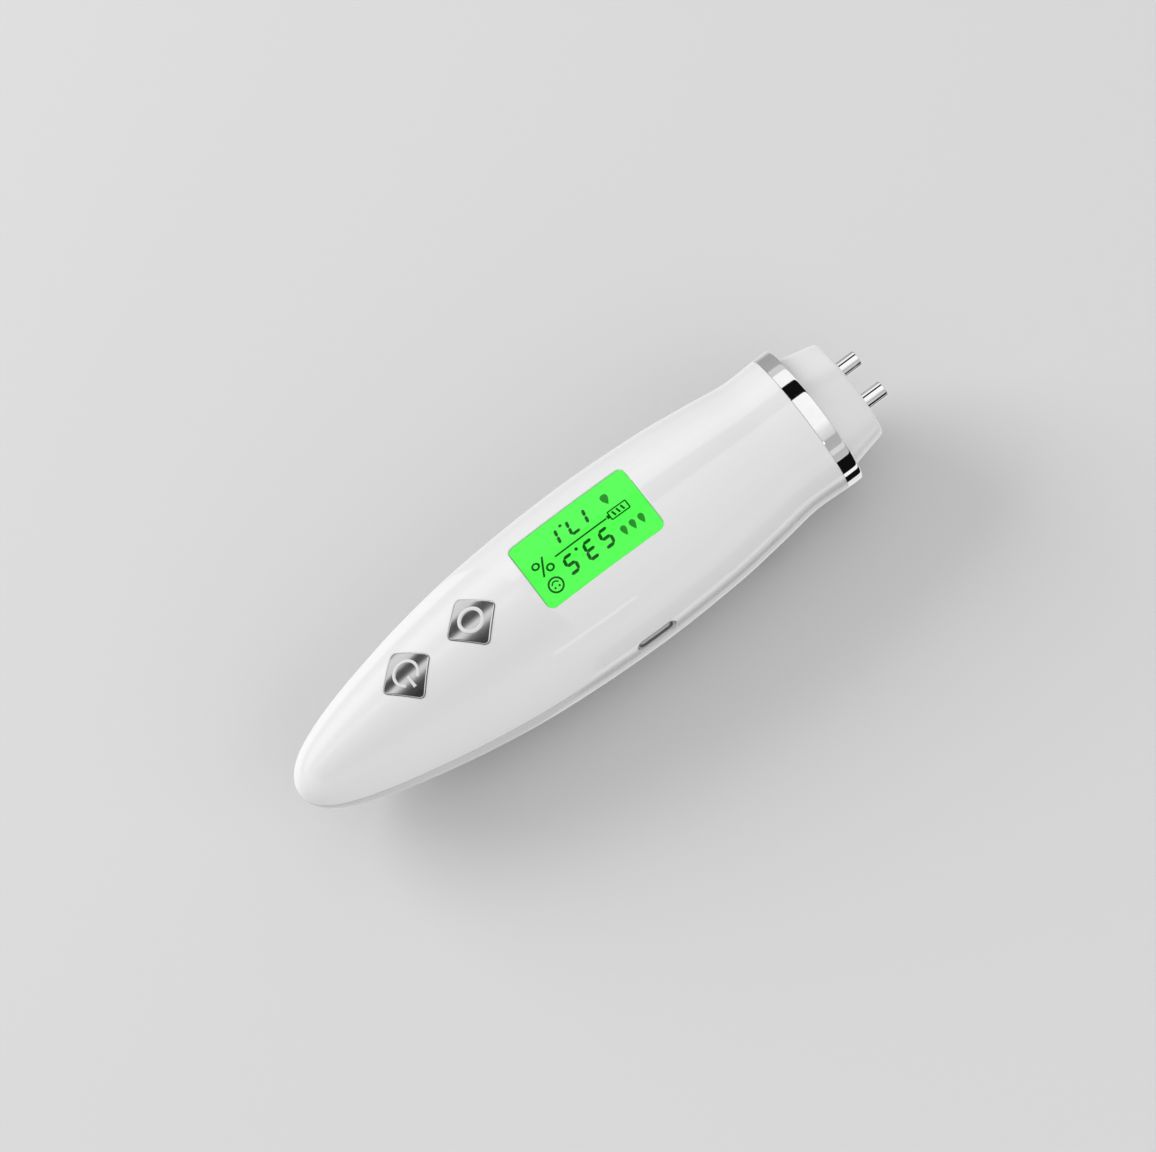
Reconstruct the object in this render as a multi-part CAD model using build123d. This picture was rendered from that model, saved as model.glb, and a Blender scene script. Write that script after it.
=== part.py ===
from build123d import *
import os
from math import sqrt

# A pen-shaped skin moisture and oil meter: a leaf-shaped two-part casing with a display window and two
# diamond buttons, a metal trim ring, and a tapered probe head that carries two sprung electrode pins.
# Every piece is drawn with X along the pen from the tail tip, Y across it and Z up from the parting
# plane of the casing. save() then moves it to the part's own frame: the origin is under the middle of
# the bounding box, on the flat that the pen rests on. Millimetres throughout.

# Casing
LENGTH = 142.0  # tail tip to electrode tips
CASE_END = 124.4  # where both half shells stop and the trim ring starts
WALL = 2.0
HALF_THICKNESS = 16.1  # of the casing at its widest station
FLAT_DEPTH = 0.8  # what the resting flat takes off the back
AXIS_HEIGHT = HALF_THICKNESS - FLAT_DEPTH
LIP_WALL = 1.0  # the rear shell's lip inside the front shell
LIP_HEIGHT = 1.5
LIP_END = 116.0
FIT_GAP = 0.05

# Half width and half thickness of the casing at stations from the tail tip; smooth in between.
STATIONS = (
    (0.0, 0.0, 0.0),
    (1.0, 3.35, 3.2),
    (4.0, 6.35, 6.1),
    (9.0, 8.9, 8.4),
    (16.0, 11.35, 10.5),
    (25.0, 13.7, 12.35),
    (36.0, 16.1, 13.95),
    (52.0, 18.4, 15.35),
    (76.0, 19.6, HALF_THICKNESS),
    (96.0, 18.8, 15.7),
    (108.0, 17.35, 15.0),
    (117.0, 16.1, 14.3),
    (CASE_END, 16.3, 14.5),
)
SECTION_COUNT = 24

# Display
WINDOW_START = 61.7
WINDOW_LENGTH = 28.1
WINDOW_WIDTH = 17.0
WINDOW_RADIUS = 1.3
WINDOW_BACK = 12.8  # height of the window's flat inner face
WINDOW_FLANGE = 0.6
GLASS = 0.7
GLASS_WIDTH = 18.6
GLASS_START = 59.8
FRONT_GLASS_LENGTH = 33.0
REAR_GLASS_LENGTH = 30.8
STACK_TOP = 12.1
LIGHT_THICKNESS = 2.4
FRAME_WALL = 0.85
FRAME_FLOOR = 1.0

# Buttons: diamonds, half diagonals along and across the pen
BUTTONS = {"power": 31.5, "mode": 48.0}
BUTTON_ALONG = 6.0
BUTTON_ACROSS = 6.4
BUTTON_RADIUS = 1.0
BUTTON_GAP = 0.15
BUTTON_RISE = 0.35  # cap above the casing
BUTTON_TRAVEL = 0.3
FLANGE_GROW = 0.9
FLANGE_TOP = 10.55
FLANGE_THICKNESS = 0.8
SEAT_HEIGHT = FLANGE_TOP + FIT_GAP
SWITCH_SIZE = 6.0
SWITCH_HEIGHT = 2.0
PLUNGER_RADIUS = 1.55
PLUNGER_TOP = 9.1
PLUNGER_BOTTOM = 7.35

# Boards
BOARD_TOP = 6.6
BOARD_THICKNESS = 1.2
BOARD_BOTTOM = BOARD_TOP - BOARD_THICKNESS
BOARD_SCREWS = ((39.75, 7.0), (39.75, -7.0), (98.0, 8.5), (98.0, -8.5))
CHIP_STATION = 66.5
CHIP_SIZE = 7.0
CHIP_LEGS = 8  # on each side
CHIP_PITCH = 0.8
CHARGE_TOP = -1.63
CHARGE_THICKNESS = 1.0
CHARGE_BOTTOM = CHARGE_TOP - CHARGE_THICKNESS
CHARGE_SCREWS = ((71.0, -7.0), (85.5, -9.0))

# Charging port on the -Y side
PORT_STATION = 75.8
PORT_WIDTH = 8.94
PORT_HEIGHT = 3.26
PORT_MOUTH = -19.0
PORT_DEPTH = 7.35
PORT_WALL = 0.3
PORT_CLEARANCE = 0.13

# Battery
CELL_START = 36.0
CELL_LENGTH = 30.0
CELL_WIDTH = 20.0
CELL_THICKNESS = 5.0
CELL_TOP = -2.6
CELL_BOTTOM = CELL_TOP - CELL_THICKNESS
PAD_THICKNESS = 1.0
BATTERY_LEADS = (75.4, 77.8)  # stations of the two leads at their connector
LEAD_RADIUS = 0.5

# Screws that hold the two shells together, from the back
CASE_SCREWS = ((20.0, 0.0), (104.0, 10.0), (104.0, -10.0))
BOSS_RADIUS = 2.6
SCREW_RADIUS = 1.0
SCREW_HEAD_RADIUS = 1.9
SCREW_HEAD_HEIGHT = 1.3
SCREW_SEAT = -7.0
SCREW_TIP = 6.0

# Trim ring and probe head
RING_WIDTH = 3.6
RING_END = CASE_END + RING_WIDTH
RING_CROWN = 0.1
RING_LIP = 1.8
SPIGOT = (13.95, 12.15)  # half width, half thickness, where the head fills the ring
NECK = (13.4, 11.7)  # where the casing's rib holds the head
RING_SOCKET = (14.9, 13.1)  # the rebate in the casing's mouth that takes the ring's lip
HEAD_END = 136.6
HEAD_BASE = (13.6, 12.0)
HEAD_FACE = (11.6, 10.0)
HEAD_START = 117.5
COLLAR_END = 119.0
NECK_END = 121.0
RETAIN_RIB = 1.6
HEAD_WALL = 1.5
HEAD_FRONT_WALL = 2.0
HEAD_EDGE = 0.7
SHOULDER = 126.6  # the probe board's seat inside the head
PROBE_BOARD = (11.7, 10.0)
PROBE_BOARD_THICKNESS = 1.2
PROBE_SCREWS = (6.4, -6.4)

# Electrodes
PIN_RADIUS = 1.75
PIN_SPACING = 9.2
PIN_CHAMFER = 0.3
PIN_FLANGE_RADIUS = 2.5
PIN_FLANGE_THICKNESS = 1.4
STEM_RADIUS = 0.8
STEM_END = 122.2
SPRING_RADIUS = 1.45
SPRING_WIRE = 0.2
SPRING_PITCH = 1.3


def half_sizes(station):
    """Half width and half thickness at a station: a smooth curve over the square root of distance."""
    knots = [sqrt(row[0]) for row in STATIONS]
    at = sqrt(station)
    last = len(knots) - 2
    k = min(sum(1 for knot in knots[1:] if knot < at), last)
    span = knots[k + 1] - knots[k]
    part = (at - knots[k]) / span
    found = []
    for column in (1, 2):
        def slope(i):
            low = max(i - 1, 0)
            high = min(i + 1, last + 1)
            return (STATIONS[high][column] - STATIONS[low][column]) / (knots[high] - knots[low])

        start = STATIONS[k][column]
        end = STATIONS[k + 1][column]
        rise = (2 * part**3 - 3 * part**2 + 1) * start + (3 * part**2 - 2 * part**3) * end
        lean = (part**3 - 2 * part**2 + part) * slope(k) + (part**3 - part**2) * slope(k + 1)
        found.append(rise + span * lean)
    return found


def oval(station, half_width, half_thickness):
    """An ellipse across the pen."""
    plane = Plane(origin=(station, 0, 0), x_dir=(0, 1, 0), z_dir=(1, 0, 0))
    return plane * Ellipse(half_width, half_thickness)


def envelope(grow=0.0):
    """The casing's outer shape, grown or shrunk evenly, as one closed solid."""
    tip = max(-grow, 0.0)
    first = sqrt(tip + 0.4)
    step = (sqrt(CASE_END) - first) / (SECTION_COUNT - 1)
    sections = [Vertex(tip, 0, 0)]
    for i in range(SECTION_COUNT):
        station = (first + i * step) ** 2
        half_width, half_thickness = half_sizes(station)
        if min(half_width, half_thickness) + grow > 0.4:
            sections.append(oval(station, half_width + grow, half_thickness + grow))
    return loft(sections)


def tube(start, end, outer_start, outer_end, inner_start, inner_end):
    """A tapered elliptical sleeve; each size is a pair of half width and half thickness."""
    outer = loft([oval(start, *outer_start), oval(end, *outer_end)])
    return outer - loft([oval(start, *inner_start), oval(end, *inner_end)])


def block(x, y, z):
    """A box given by its two limits along each axis."""
    size = [pair[1] - pair[0] for pair in (x, y, z)]
    middle = [(pair[0] + pair[1]) / 2 for pair in (x, y, z)]
    return Pos(*middle) * Box(*size)


def post(x, y, radius, bottom, top):
    """An upright cylinder."""
    return Pos(x, y, (bottom + top) / 2) * Cylinder(radius, top - bottom)


def rod(start, end, y, z, radius):
    """A cylinder along the pen."""
    return Pos((start + end) / 2, y, z) * Rot(0, 90, 0) * Cylinder(radius, end - start)


def diamond(station, grow, bottom, top):
    """A button's rounded diamond, grown evenly, as an upright prism."""
    reach = 1 + grow * sqrt(BUTTON_ALONG**2 + BUTTON_ACROSS**2) / (BUTTON_ALONG * BUTTON_ACROSS)
    along = BUTTON_ALONG * reach
    across = BUTTON_ACROSS * reach
    outline = Polygon((along, 0), (0, across), (-along, 0), (0, -across), align=None)
    outline = fillet(outline.vertices(), BUTTON_RADIUS + max(grow, 0))
    return Pos(station, 0, bottom) * extrude(outline, top - bottom)


def rounded_slab(x, y, z, radius):
    """A flat slab with rounded upright corners."""
    slab = block(x, y, z)
    return fillet(slab.edges().filter_by(Axis.Z), radius)


def screw(x, y, seat, tip, shank, head, head_height, head_up):
    """A plain shank with a flat round head that has a cross recess."""
    way = 1 if head_up else -1
    low, high = sorted((seat, seat + way * head_height))
    body = post(x, y, head, low, high)
    body += post(x, y, shank, min(tip, seat), max(tip, seat))
    top = seat + way * head_height
    low, high = sorted((top, top - way * head_height * 0.5))
    slot = head * 0.6
    width = head * 0.12
    body -= block((x - slot, x + slot), (y - width, y + width), (low, high))
    body -= block((x - width, x + width), (y - slot, y + slot), (low, high))
    return body


def lead(points, radius, bends):
    """An insulated wire of straight runs joined by arcs."""
    path = FilletPolyline(*points, radius=bends)
    start = Plane(origin=path @ 0, z_dir=path % 0)
    return sweep(start * Circle(radius), path=path)


def port_slot(clearance, inner, outer):
    """The rounded slot of the charging port, along Y, between two depths."""
    plane = Plane(origin=(PORT_STATION, inner, 0), x_dir=(1, 0, 0), z_dir=(0, -1, 0))
    outline = RectangleRounded(
        PORT_WIDTH + 2 * clearance, PORT_HEIGHT + 2 * clearance, PORT_HEIGHT / 2 - 0.1 + clearance
    )
    return extrude(plane * outline, inner - outer)


def joined(shapes):
    """All the shapes as one."""
    whole = shapes[0]
    for shape in shapes[1:]:
        whole += shape
    return whole


def retaining_rib():
    """The oval rib inside the casing that the probe head's collar catches behind."""
    start = COLLAR_END + 0.1
    fit = grown(NECK)
    return tube(start, start + RETAIN_RIB, (17, 15), (17, 15), fit, fit)


def ring_socket():
    """The rebate in the casing's mouth for the trim ring's lip."""
    return loft([oval(CASE_END - RING_LIP - 0.1, *RING_SOCKET), oval(CASE_END + 1, *RING_SOCKET)])


def front_shell(outer, inner, lip_space, skin):
    """The upper half, with the window opening, button wells, screw bosses and port notch."""
    upper = block((-5, CASE_END), (-30, 30), (0, 30))
    features = [retaining_rib()]
    for station in BUTTONS.values():
        features.append(diamond(station, 2.6, SEAT_HEIGHT, 20))
    window_seat = (GLASS_START - 2.5, GLASS_START + FRONT_GLASS_LENGTH + 2.5)
    features.append(block(window_seat, (-12, 12), (STACK_TOP, 20)))
    for x, y in CASE_SCREWS:
        features.append(post(x, y, BOSS_RADIUS, 0, 20))
    for x, y in BOARD_SCREWS:
        features.append(post(x, y, 1.8, BOARD_TOP, 20))
    shell = ((outer - inner) & upper) + (joined(features) & skin & upper)

    cuts = [port_slot(PORT_CLEARANCE, -14, -25), ring_socket()]
    for x, y in CASE_SCREWS:
        cuts.append(post(x, y, SCREW_RADIUS, -1, SCREW_TIP + 0.4))
    for x, y in BOARD_SCREWS:
        cuts.append(post(x, y, 0.7, BOARD_TOP - 1, BOARD_TOP + 3.2))
    for station in BUTTONS.values():
        cuts.append(diamond(station, BUTTON_GAP, 5, 30))
        cuts.append(diamond(station, FLANGE_GROW + 0.35, 9, SEAT_HEIGHT))
    opening = (WINDOW_START, WINDOW_START + WINDOW_LENGTH)
    half = WINDOW_WIDTH / 2
    cuts.append(rounded_slab(opening, (-half, half), (5, 30), WINDOW_RADIUS))
    flange = (WINDOW_START - 1.4, WINDOW_START + WINDOW_LENGTH + 1.4)
    cuts.append(block(flange, (-half - 1.1, half + 1.1), (9, WINDOW_BACK)))
    frame_x = (GLASS_START - FRAME_WALL - 0.3, GLASS_START + FRONT_GLASS_LENGTH + FRAME_WALL + 0.3)
    frame_y = GLASS_WIDTH / 2 + FRAME_WALL + 0.25
    cuts.append(block(frame_x, (-frame_y, frame_y), (9, STACK_TOP + 0.1)))
    shell -= joined(cuts)
    rebate = lip_space & block((2.5, LIP_END + 0.3), (-30, 30), (-1, LIP_HEIGHT + 0.1))
    return solid_of(shell - (rebate - joined(case_columns(0.0))))


def case_columns(gap):
    """The upright screw columns, which the lip and its rebate leave alone."""
    return [post(x, y, BOSS_RADIUS + gap, -20, 20) for x, y in CASE_SCREWS]


def grown(size):
    """A half size pair with the running fit added."""
    return (size[0] + FIT_GAP, size[1] + FIT_GAP)


def solid_of(shape):
    """The shape's one solid."""
    solids = shape.solids()
    assert len(solids) == 1, f"{len(solids)} solids: {[round(s.volume, 3) for s in solids]}"
    return solids[0]


def rear_shell(outer, inner, lip_outer, skin):
    """The lower half, with its resting flat, lip, screw columns, battery cradle and board posts."""
    lower = block((-5, CASE_END), (-30, 30), (-AXIS_HEIGHT, 0))
    features = [retaining_rib()]
    for x, y in CASE_SCREWS:
        features.append(post(x, y, BOSS_RADIUS, -20, 0))
    cradle_half = CELL_WIDTH / 2 + 0.3
    for x in (CELL_START - 1.6, CELL_START + CELL_LENGTH + 0.4):
        features.append(block((x, x + 1.2), (-cradle_half, cradle_half), (-20, CELL_TOP - 2.4)))
    for x in (CELL_START + 4, CELL_START + CELL_LENGTH / 2, CELL_START + CELL_LENGTH - 5):
        features.append(block((x, x + 1.0), (-7, 7), (-20, CELL_BOTTOM - PAD_THICKNESS)))
    for x, y in CHARGE_SCREWS:
        features.append(post(x, y, 1.9, -20, CHARGE_BOTTOM))
    shell = ((outer - inner) & lower) + (joined(features) & skin & lower)
    lip = (lip_outer - inner) & block((3.0, LIP_END), (-30, 30), (0, LIP_HEIGHT))
    shell += lip - joined(case_columns(0.1))

    cuts = [port_slot(PORT_CLEARANCE, -14, -25), ring_socket()]
    for x, y in CASE_SCREWS:
        cuts.append(post(x, y, SCREW_RADIUS + 0.15, SCREW_SEAT - 1, 1))
        cuts.append(post(x, y, SCREW_HEAD_RADIUS + 0.15, -25, SCREW_SEAT))
    for x, y in CHARGE_SCREWS:
        cuts.append(post(x, y, 0.7, CHARGE_BOTTOM - 4.0, CHARGE_BOTTOM + 1))
    return solid_of(shell - joined(cuts))


def trim_ring():
    """The metal collar between the casing and the probe head."""
    start = (half_sizes(CASE_END)[0], half_sizes(CASE_END)[1])
    middle = (start[0] + RING_CROWN, start[1] + RING_CROWN)
    outer = loft(
        [oval(CASE_END, *start), oval(CASE_END + RING_WIDTH / 2, *middle), oval(RING_END, *start)]
    )
    outer = chamfer(outer.edges().group_by(Axis.X)[-1], 0.35)
    lip = (RING_SOCKET[0] - FIT_GAP, RING_SOCKET[1] - FIT_GAP)
    ring = outer + loft([oval(CASE_END - RING_LIP, *lip), oval(CASE_END, *lip)])
    bore = grown(SPIGOT)
    ring -= loft([oval(CASE_END - RING_LIP - 1, *bore), oval(RING_END + 1, *bore)])
    return solid_of(ring)


def probe_head():
    """The white nose: a tapered cup with two guide bores, and a spigot with a neck behind the ring."""
    head = loft([oval(RING_END - 0.6, *SPIGOT), oval(RING_END, *HEAD_BASE)])
    head += loft([oval(RING_END, *HEAD_BASE), oval(HEAD_END, *HEAD_FACE)])
    head = fillet(head.edges().group_by(Axis.X)[-1], HEAD_EDGE)
    head += loft([oval(NECK_END, *SPIGOT), oval(RING_END - 0.6, *SPIGOT)])
    head += loft([oval(HEAD_START, *NECK), oval(NECK_END, *NECK)])
    head += loft([oval(HEAD_START, *SPIGOT), oval(COLLAR_END, *SPIGOT)])
    sleeve = (NECK[0] - HEAD_WALL, NECK[1] - HEAD_WALL)
    nose = (HEAD_FACE[0] - HEAD_WALL, HEAD_FACE[1] - HEAD_WALL)
    shoulder = (sleeve[0] - 0.9, sleeve[1] - 0.9)
    head -= loft([oval(HEAD_START - 1, *sleeve), oval(SHOULDER, *sleeve)])
    head -= loft([oval(SHOULDER - 1, *shoulder), oval(HEAD_END - HEAD_FRONT_WALL, *nose)])
    for z in PROBE_SCREWS:
        head += rod(SHOULDER, HEAD_END - HEAD_FRONT_WALL + 0.5, 0, z, 1.8)
        head -= rod(SHOULDER - 1, SHOULDER + 5, 0, z, 0.7)
    for side in (-1, 1):
        y = side * PIN_SPACING / 2
        head -= rod(HEAD_END - HEAD_FRONT_WALL - 1, HEAD_END + 1, y, 0, PIN_RADIUS + FIT_GAP)
    return solid_of(head)


def display_window(skin):
    """The clear window: a lens that carries the casing's curve, on a thin mounting flange."""
    half = WINDOW_WIDTH / 2 - FIT_GAP
    x = (WINDOW_START + FIT_GAP, WINDOW_START + WINDOW_LENGTH - FIT_GAP)
    lens = rounded_slab(x, (-half, half), (WINDOW_BACK - WINDOW_FLANGE, 30), WINDOW_RADIUS) & skin
    x = (WINDOW_START - 1.3, WINDOW_START + WINDOW_LENGTH + 1.3)
    z = (WINDOW_BACK - WINDOW_FLANGE, WINDOW_BACK)
    return solid_of(lens + block(x, (-half - 1.0, half + 1.0), z))


def lcd_front_glass():
    """The upper display glass, longer than the lower one by its contact ledge."""
    half = GLASS_WIDTH / 2
    x = (GLASS_START, GLASS_START + FRONT_GLASS_LENGTH)
    return block(x, (-half, half), (STACK_TOP - GLASS, STACK_TOP))


def lcd_rear_glass():
    """The lower display glass."""
    half = GLASS_WIDTH / 2
    top = STACK_TOP - GLASS
    return block((GLASS_START, GLASS_START + REAR_GLASS_LENGTH), (-half, half), (top - GLASS, top))


def backlight_panel():
    """The light guide under the glass, with a row of lamps in its tail-side edge."""
    half = GLASS_WIDTH / 2
    top = STACK_TOP - 2 * GLASS
    panel = block(
        (GLASS_START, GLASS_START + REAR_GLASS_LENGTH), (-half, half), (top - LIGHT_THICKNESS, top)
    )
    for y in (-5.5, 0, 5.5):
        panel -= block((GLASS_START - 1, GLASS_START + 0.8), (y - 1.2, y + 1.2), (top - 1.9, top - 0.5))
    return solid_of(panel)


def backlight_lamps():
    """The lamps in the light guide's edge, a group of separate solids."""
    top = STACK_TOP - 2 * GLASS
    lamps = []
    for y in (-5.5, 0, 5.5):
        lamps.append(block((GLASS_START, GLASS_START + 0.75), (y - 1.1, y + 1.1), (top - 1.8, top - 0.6)))
    return Compound(children=lamps)


def lcd_frame():
    """The white holder that stands the display on the main board, with a slot for the contact strip."""
    x = (GLASS_START - FRAME_WALL, GLASS_START + FRONT_GLASS_LENGTH + FRAME_WALL)
    half = GLASS_WIDTH / 2 + FRAME_WALL
    frame = block(x, (-half, half), (BOARD_TOP, STACK_TOP))
    floor_top = STACK_TOP - 2 * GLASS - LIGHT_THICKNESS
    pocket = (GLASS_START - FIT_GAP, GLASS_START + FRONT_GLASS_LENGTH + FIT_GAP)
    pocket_half = GLASS_WIDTH / 2 + FIT_GAP
    frame -= block(pocket, (-pocket_half, pocket_half), (floor_top, STACK_TOP + 1))
    frame -= block(pocket, (-pocket_half, pocket_half), (BOARD_TOP - 1, floor_top - FRAME_FLOOR))
    strip = (GLASS_START + REAR_GLASS_LENGTH + 0.2, GLASS_START + FRONT_GLASS_LENGTH + FIT_GAP)
    frame -= block(strip, (-pocket_half, pocket_half), (BOARD_TOP - 1, STACK_TOP + 1))
    for lug_x in (x[0] - 1.0, x[1] + 1.0):
        for y in (-6.5, 6.5):
            frame += block((lug_x - 1.1, lug_x + 1.1), (y - 1.5, y + 1.5), (BOARD_TOP, BOARD_TOP + 1.5))
            frame += post(lug_x, y, 0.55, BOARD_BOTTOM - 0.6, BOARD_TOP)
    return solid_of(frame)


def lcd_contact_strip():
    """The striped elastomer that joins the glass ledge to the board."""
    start = GLASS_START + REAR_GLASS_LENGTH + 0.35
    return block((start, start + 1.5), (-8.8, 8.8), (BOARD_TOP, STACK_TOP - GLASS))


def main_board():
    """The board under the display and buttons, outlined to follow the casing."""
    side = [(23.5, 6.6), (39.0, 10.8), (60.0, 12.4), (94.0, 12.4), (100.8, 10.8)]
    outline = Polygon(*[(x, -y) for x, y in side], *reversed(side), align=None)
    outline = fillet(outline.vertices(), 1.5)
    board = Pos(0, 0, BOARD_BOTTOM) * extrude(outline, BOARD_THICKNESS)
    for x, y in BOARD_SCREWS:
        board -= post(x, y, 1.0, BOARD_BOTTOM - 1, BOARD_TOP + 1)
    x = (GLASS_START - FRAME_WALL - 1.0, GLASS_START + FRONT_GLASS_LENGTH + FRAME_WALL + 1.0)
    for lug_x in x:
        for y in (-6.5, 6.5):
            board -= post(lug_x, y, 0.6, BOARD_BOTTOM - 1, BOARD_TOP + 1)
    return solid_of(board)


def controller_chip():
    """The square controller under the main board."""
    half = CHIP_SIZE / 2
    foot = half + 0.9
    z = (BOARD_BOTTOM - 0.5, BOARD_BOTTOM)
    x = (CHIP_STATION - half, CHIP_STATION + half)
    package = block(x, (-half, half), (BOARD_BOTTOM - 1.3, BOARD_BOTTOM - 0.2))
    for i in range(CHIP_LEGS):
        offset = (i - (CHIP_LEGS - 1) / 2) * CHIP_PITCH
        near, far = offset - 0.15, offset + 0.15
        for side in ((-foot, -half), (half, foot)):
            package += block((CHIP_STATION + near, CHIP_STATION + far), side, z)
            package += block((CHIP_STATION + side[0], CHIP_STATION + side[1]), (near, far), z)
    return solid_of(package)


def main_board_parts():
    """Small parts under the main board: capacitors and resistors as a group of separate solids."""
    places = [(76, 4), (76, 6.5), (80, -4), (84, 5), (84, 7.5), (54, -5), (54, -2.5), (50, 3)]
    parts = []
    for x, y in places:
        parts.append(block((x - 1.0, x + 1.0), (y - 0.6, y + 0.6), (BOARD_BOTTOM - 0.8, BOARD_BOTTOM)))
    parts.append(post(88.5, 0.0, 2.5, BOARD_BOTTOM - 5.2, BOARD_BOTTOM))
    return Compound(children=parts)


def switch_body(station):
    """A low push switch: a square case with a round well and four feet."""
    half = SWITCH_SIZE / 2
    case = block((station - half, station + half), (-half, half), (BOARD_TOP, BOARD_TOP + SWITCH_HEIGHT))
    case -= post(station, 0, PLUNGER_RADIUS + FIT_GAP, PLUNGER_BOTTOM - BUTTON_TRAVEL - 0.05, 20)
    for x in (-2.2, 2.2):
        for y in (-half - 0.8, half):
            case += block(
                (station + x - 0.35, station + x + 0.35), (y, y + 0.8), (BOARD_TOP, BOARD_TOP + 0.3)
            )
    return solid_of(case)


def switch_plunger(station):
    """The round plunger that the button cap presses."""
    return solid_of(post(station, 0, PLUNGER_RADIUS, PLUNGER_BOTTOM, PLUNGER_TOP))


def button_cap(station, raised):
    """A diamond cap that carries the casing's curve, with its flange and stem under the casing."""
    cap = diamond(station, 0, FLANGE_TOP, 30) & raised
    cap += diamond(station, FLANGE_GROW, FLANGE_TOP - FLANGE_THICKNESS, FLANGE_TOP)
    cap += post(station, 0, 2.2, PLUNGER_TOP, FLANGE_TOP)
    return solid_of(cap)


def charge_board():
    """The small board that carries the charging port."""
    board = rounded_slab((68.6, 88.0), (-16.3, -3.0), (CHARGE_BOTTOM, CHARGE_TOP), 0.8)
    for x, y in CHARGE_SCREWS:
        board -= post(x, y, 1.0, CHARGE_BOTTOM - 1, CHARGE_TOP + 1)
    return solid_of(board)


def usb_socket_shell():
    """The drawn metal sleeve of the charging port, closed at the back."""
    sleeve = port_slot(0, PORT_MOUTH + PORT_DEPTH, PORT_MOUTH)
    sleeve -= port_slot(-PORT_WALL, PORT_MOUTH + PORT_DEPTH - 0.8, PORT_MOUTH - 1)
    return solid_of(sleeve)


def usb_socket_tongue():
    """The contact tongue inside the port, with its base."""
    back = PORT_MOUTH + PORT_DEPTH - 0.8
    tongue = block((PORT_STATION - 3.3, PORT_STATION + 3.3), (PORT_MOUTH + 1.0, back), (-0.35, 0.35))
    tongue += block((PORT_STATION - 3.6, PORT_STATION + 3.6), (back - 1.4, back), (-1.1, 1.1))
    return solid_of(tongue)


def charge_board_parts():
    """Charging chip and passives, and the battery connector, as a group of separate solids."""
    parts = [block((82.0, 85.0), (-15.5, -12.5), (CHARGE_TOP, CHARGE_TOP + 0.9))]
    for x, y in ((82.5, -5.5), (82.5, -11.3), (69.8, -12.5), (69.8, -14.5)):
        parts.append(block((x - 0.5, x + 0.5), (y - 0.8, y + 0.8), (CHARGE_TOP, CHARGE_TOP + 0.6)))
    return Compound(children=parts)


def battery_connector():
    """The white two-way socket for the battery leads, open towards +Y."""
    body = block((73.6, 79.6), (-7.6, -3.2), (CHARGE_TOP, CHARGE_TOP + 3.4))
    for x in BATTERY_LEADS:
        body -= rod_across(x, CHARGE_TOP + 1.8, -5.4, -3.0, 0.6)
    return solid_of(body)


def rod_across(x, z, low, high, radius):
    """A cylinder across the pen."""
    return Pos(x, (low + high) / 2, z) * Rot(90, 0, 0) * Cylinder(radius, high - low)


def battery_lead(end_x, start_y):
    """One battery wire, from the cell's end to the connector."""
    z = CHARGE_TOP + 1.8
    points = [
        (CELL_START + CELL_LENGTH, start_y, CELL_TOP - 1.3),
        (end_x - 4.0, start_y, CELL_TOP - 0.9),
        (end_x, start_y - 2.0, z),
        (end_x, -5.4, z),
    ]
    return lead(points, LEAD_RADIUS, 1.6)


def link_leads():
    """Two wires from the charging board up to the main board."""
    wires = []
    for y in (-4.6, -6.6):
        points = [(86.6, y, CHARGE_TOP), (86.6, y, 0.8), (91.0, y, 2.4), (91.0, y, BOARD_BOTTOM)]
        wires.append(lead(points, LEAD_RADIUS, 1.3))
    return Compound(children=wires)


def probe_lead(side):
    """A wire from an electrode's pad on the probe board back to the main board."""
    y = side * PIN_SPACING / 2
    points = [
        (SHOULDER - PROBE_BOARD_THICKNESS, y, 4.2),
        (116.0, y, 4.2),
        (106.0, y * 0.85, 2.2),
        (95.0, y * 0.85, 2.2),
        (95.0, y * 0.85, BOARD_BOTTOM),
    ]
    return lead(points, LEAD_RADIUS, 2.0)


def battery_cell():
    """A flat pouch cell with its protection strip under the end tape."""
    x = (CELL_START, CELL_START + CELL_LENGTH)
    half = CELL_WIDTH / 2
    cell = block(x, (-half, half), (CELL_BOTTOM, CELL_TOP))
    return fillet(cell.edges().filter_by(Axis.X), 1.2)


def battery_pad():
    """Foam between the cell and the ribs of the rear shell."""
    x = (CELL_START + 2, CELL_START + CELL_LENGTH - 2)
    return block(x, (-7.0, 7.0), (CELL_BOTTOM - PAD_THICKNESS, CELL_BOTTOM))


def probe_board():
    """The oval board behind the head's shoulder that the electrode springs push on."""
    board = loft([oval(SHOULDER - PROBE_BOARD_THICKNESS, *PROBE_BOARD), oval(SHOULDER, *PROBE_BOARD)])
    for side in (-1, 1):
        board -= rod(SHOULDER - 3, SHOULDER + 1, side * PIN_SPACING / 2, 0, STEM_RADIUS + FIT_GAP)
    for z in PROBE_SCREWS:
        board -= rod(SHOULDER - 3, SHOULDER + 1, 0, z, 1.0)
    return solid_of(board)


def probe_board_screws():
    """Two screws that hold the probe board in the head, from behind."""
    screws = []
    seat = SHOULDER - PROBE_BOARD_THICKNESS
    for z in PROBE_SCREWS:
        body = rod(seat, SHOULDER + 4.5, 0, z, 0.7) + rod(seat - 1.0, seat, 0, z, 1.5)
        body -= block((seat - 1.0, seat - 0.5), (-1.0, 1.0), (z - 0.2, z + 0.2))
        screws.append(solid_of(body))
    return Compound(children=screws)


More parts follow.
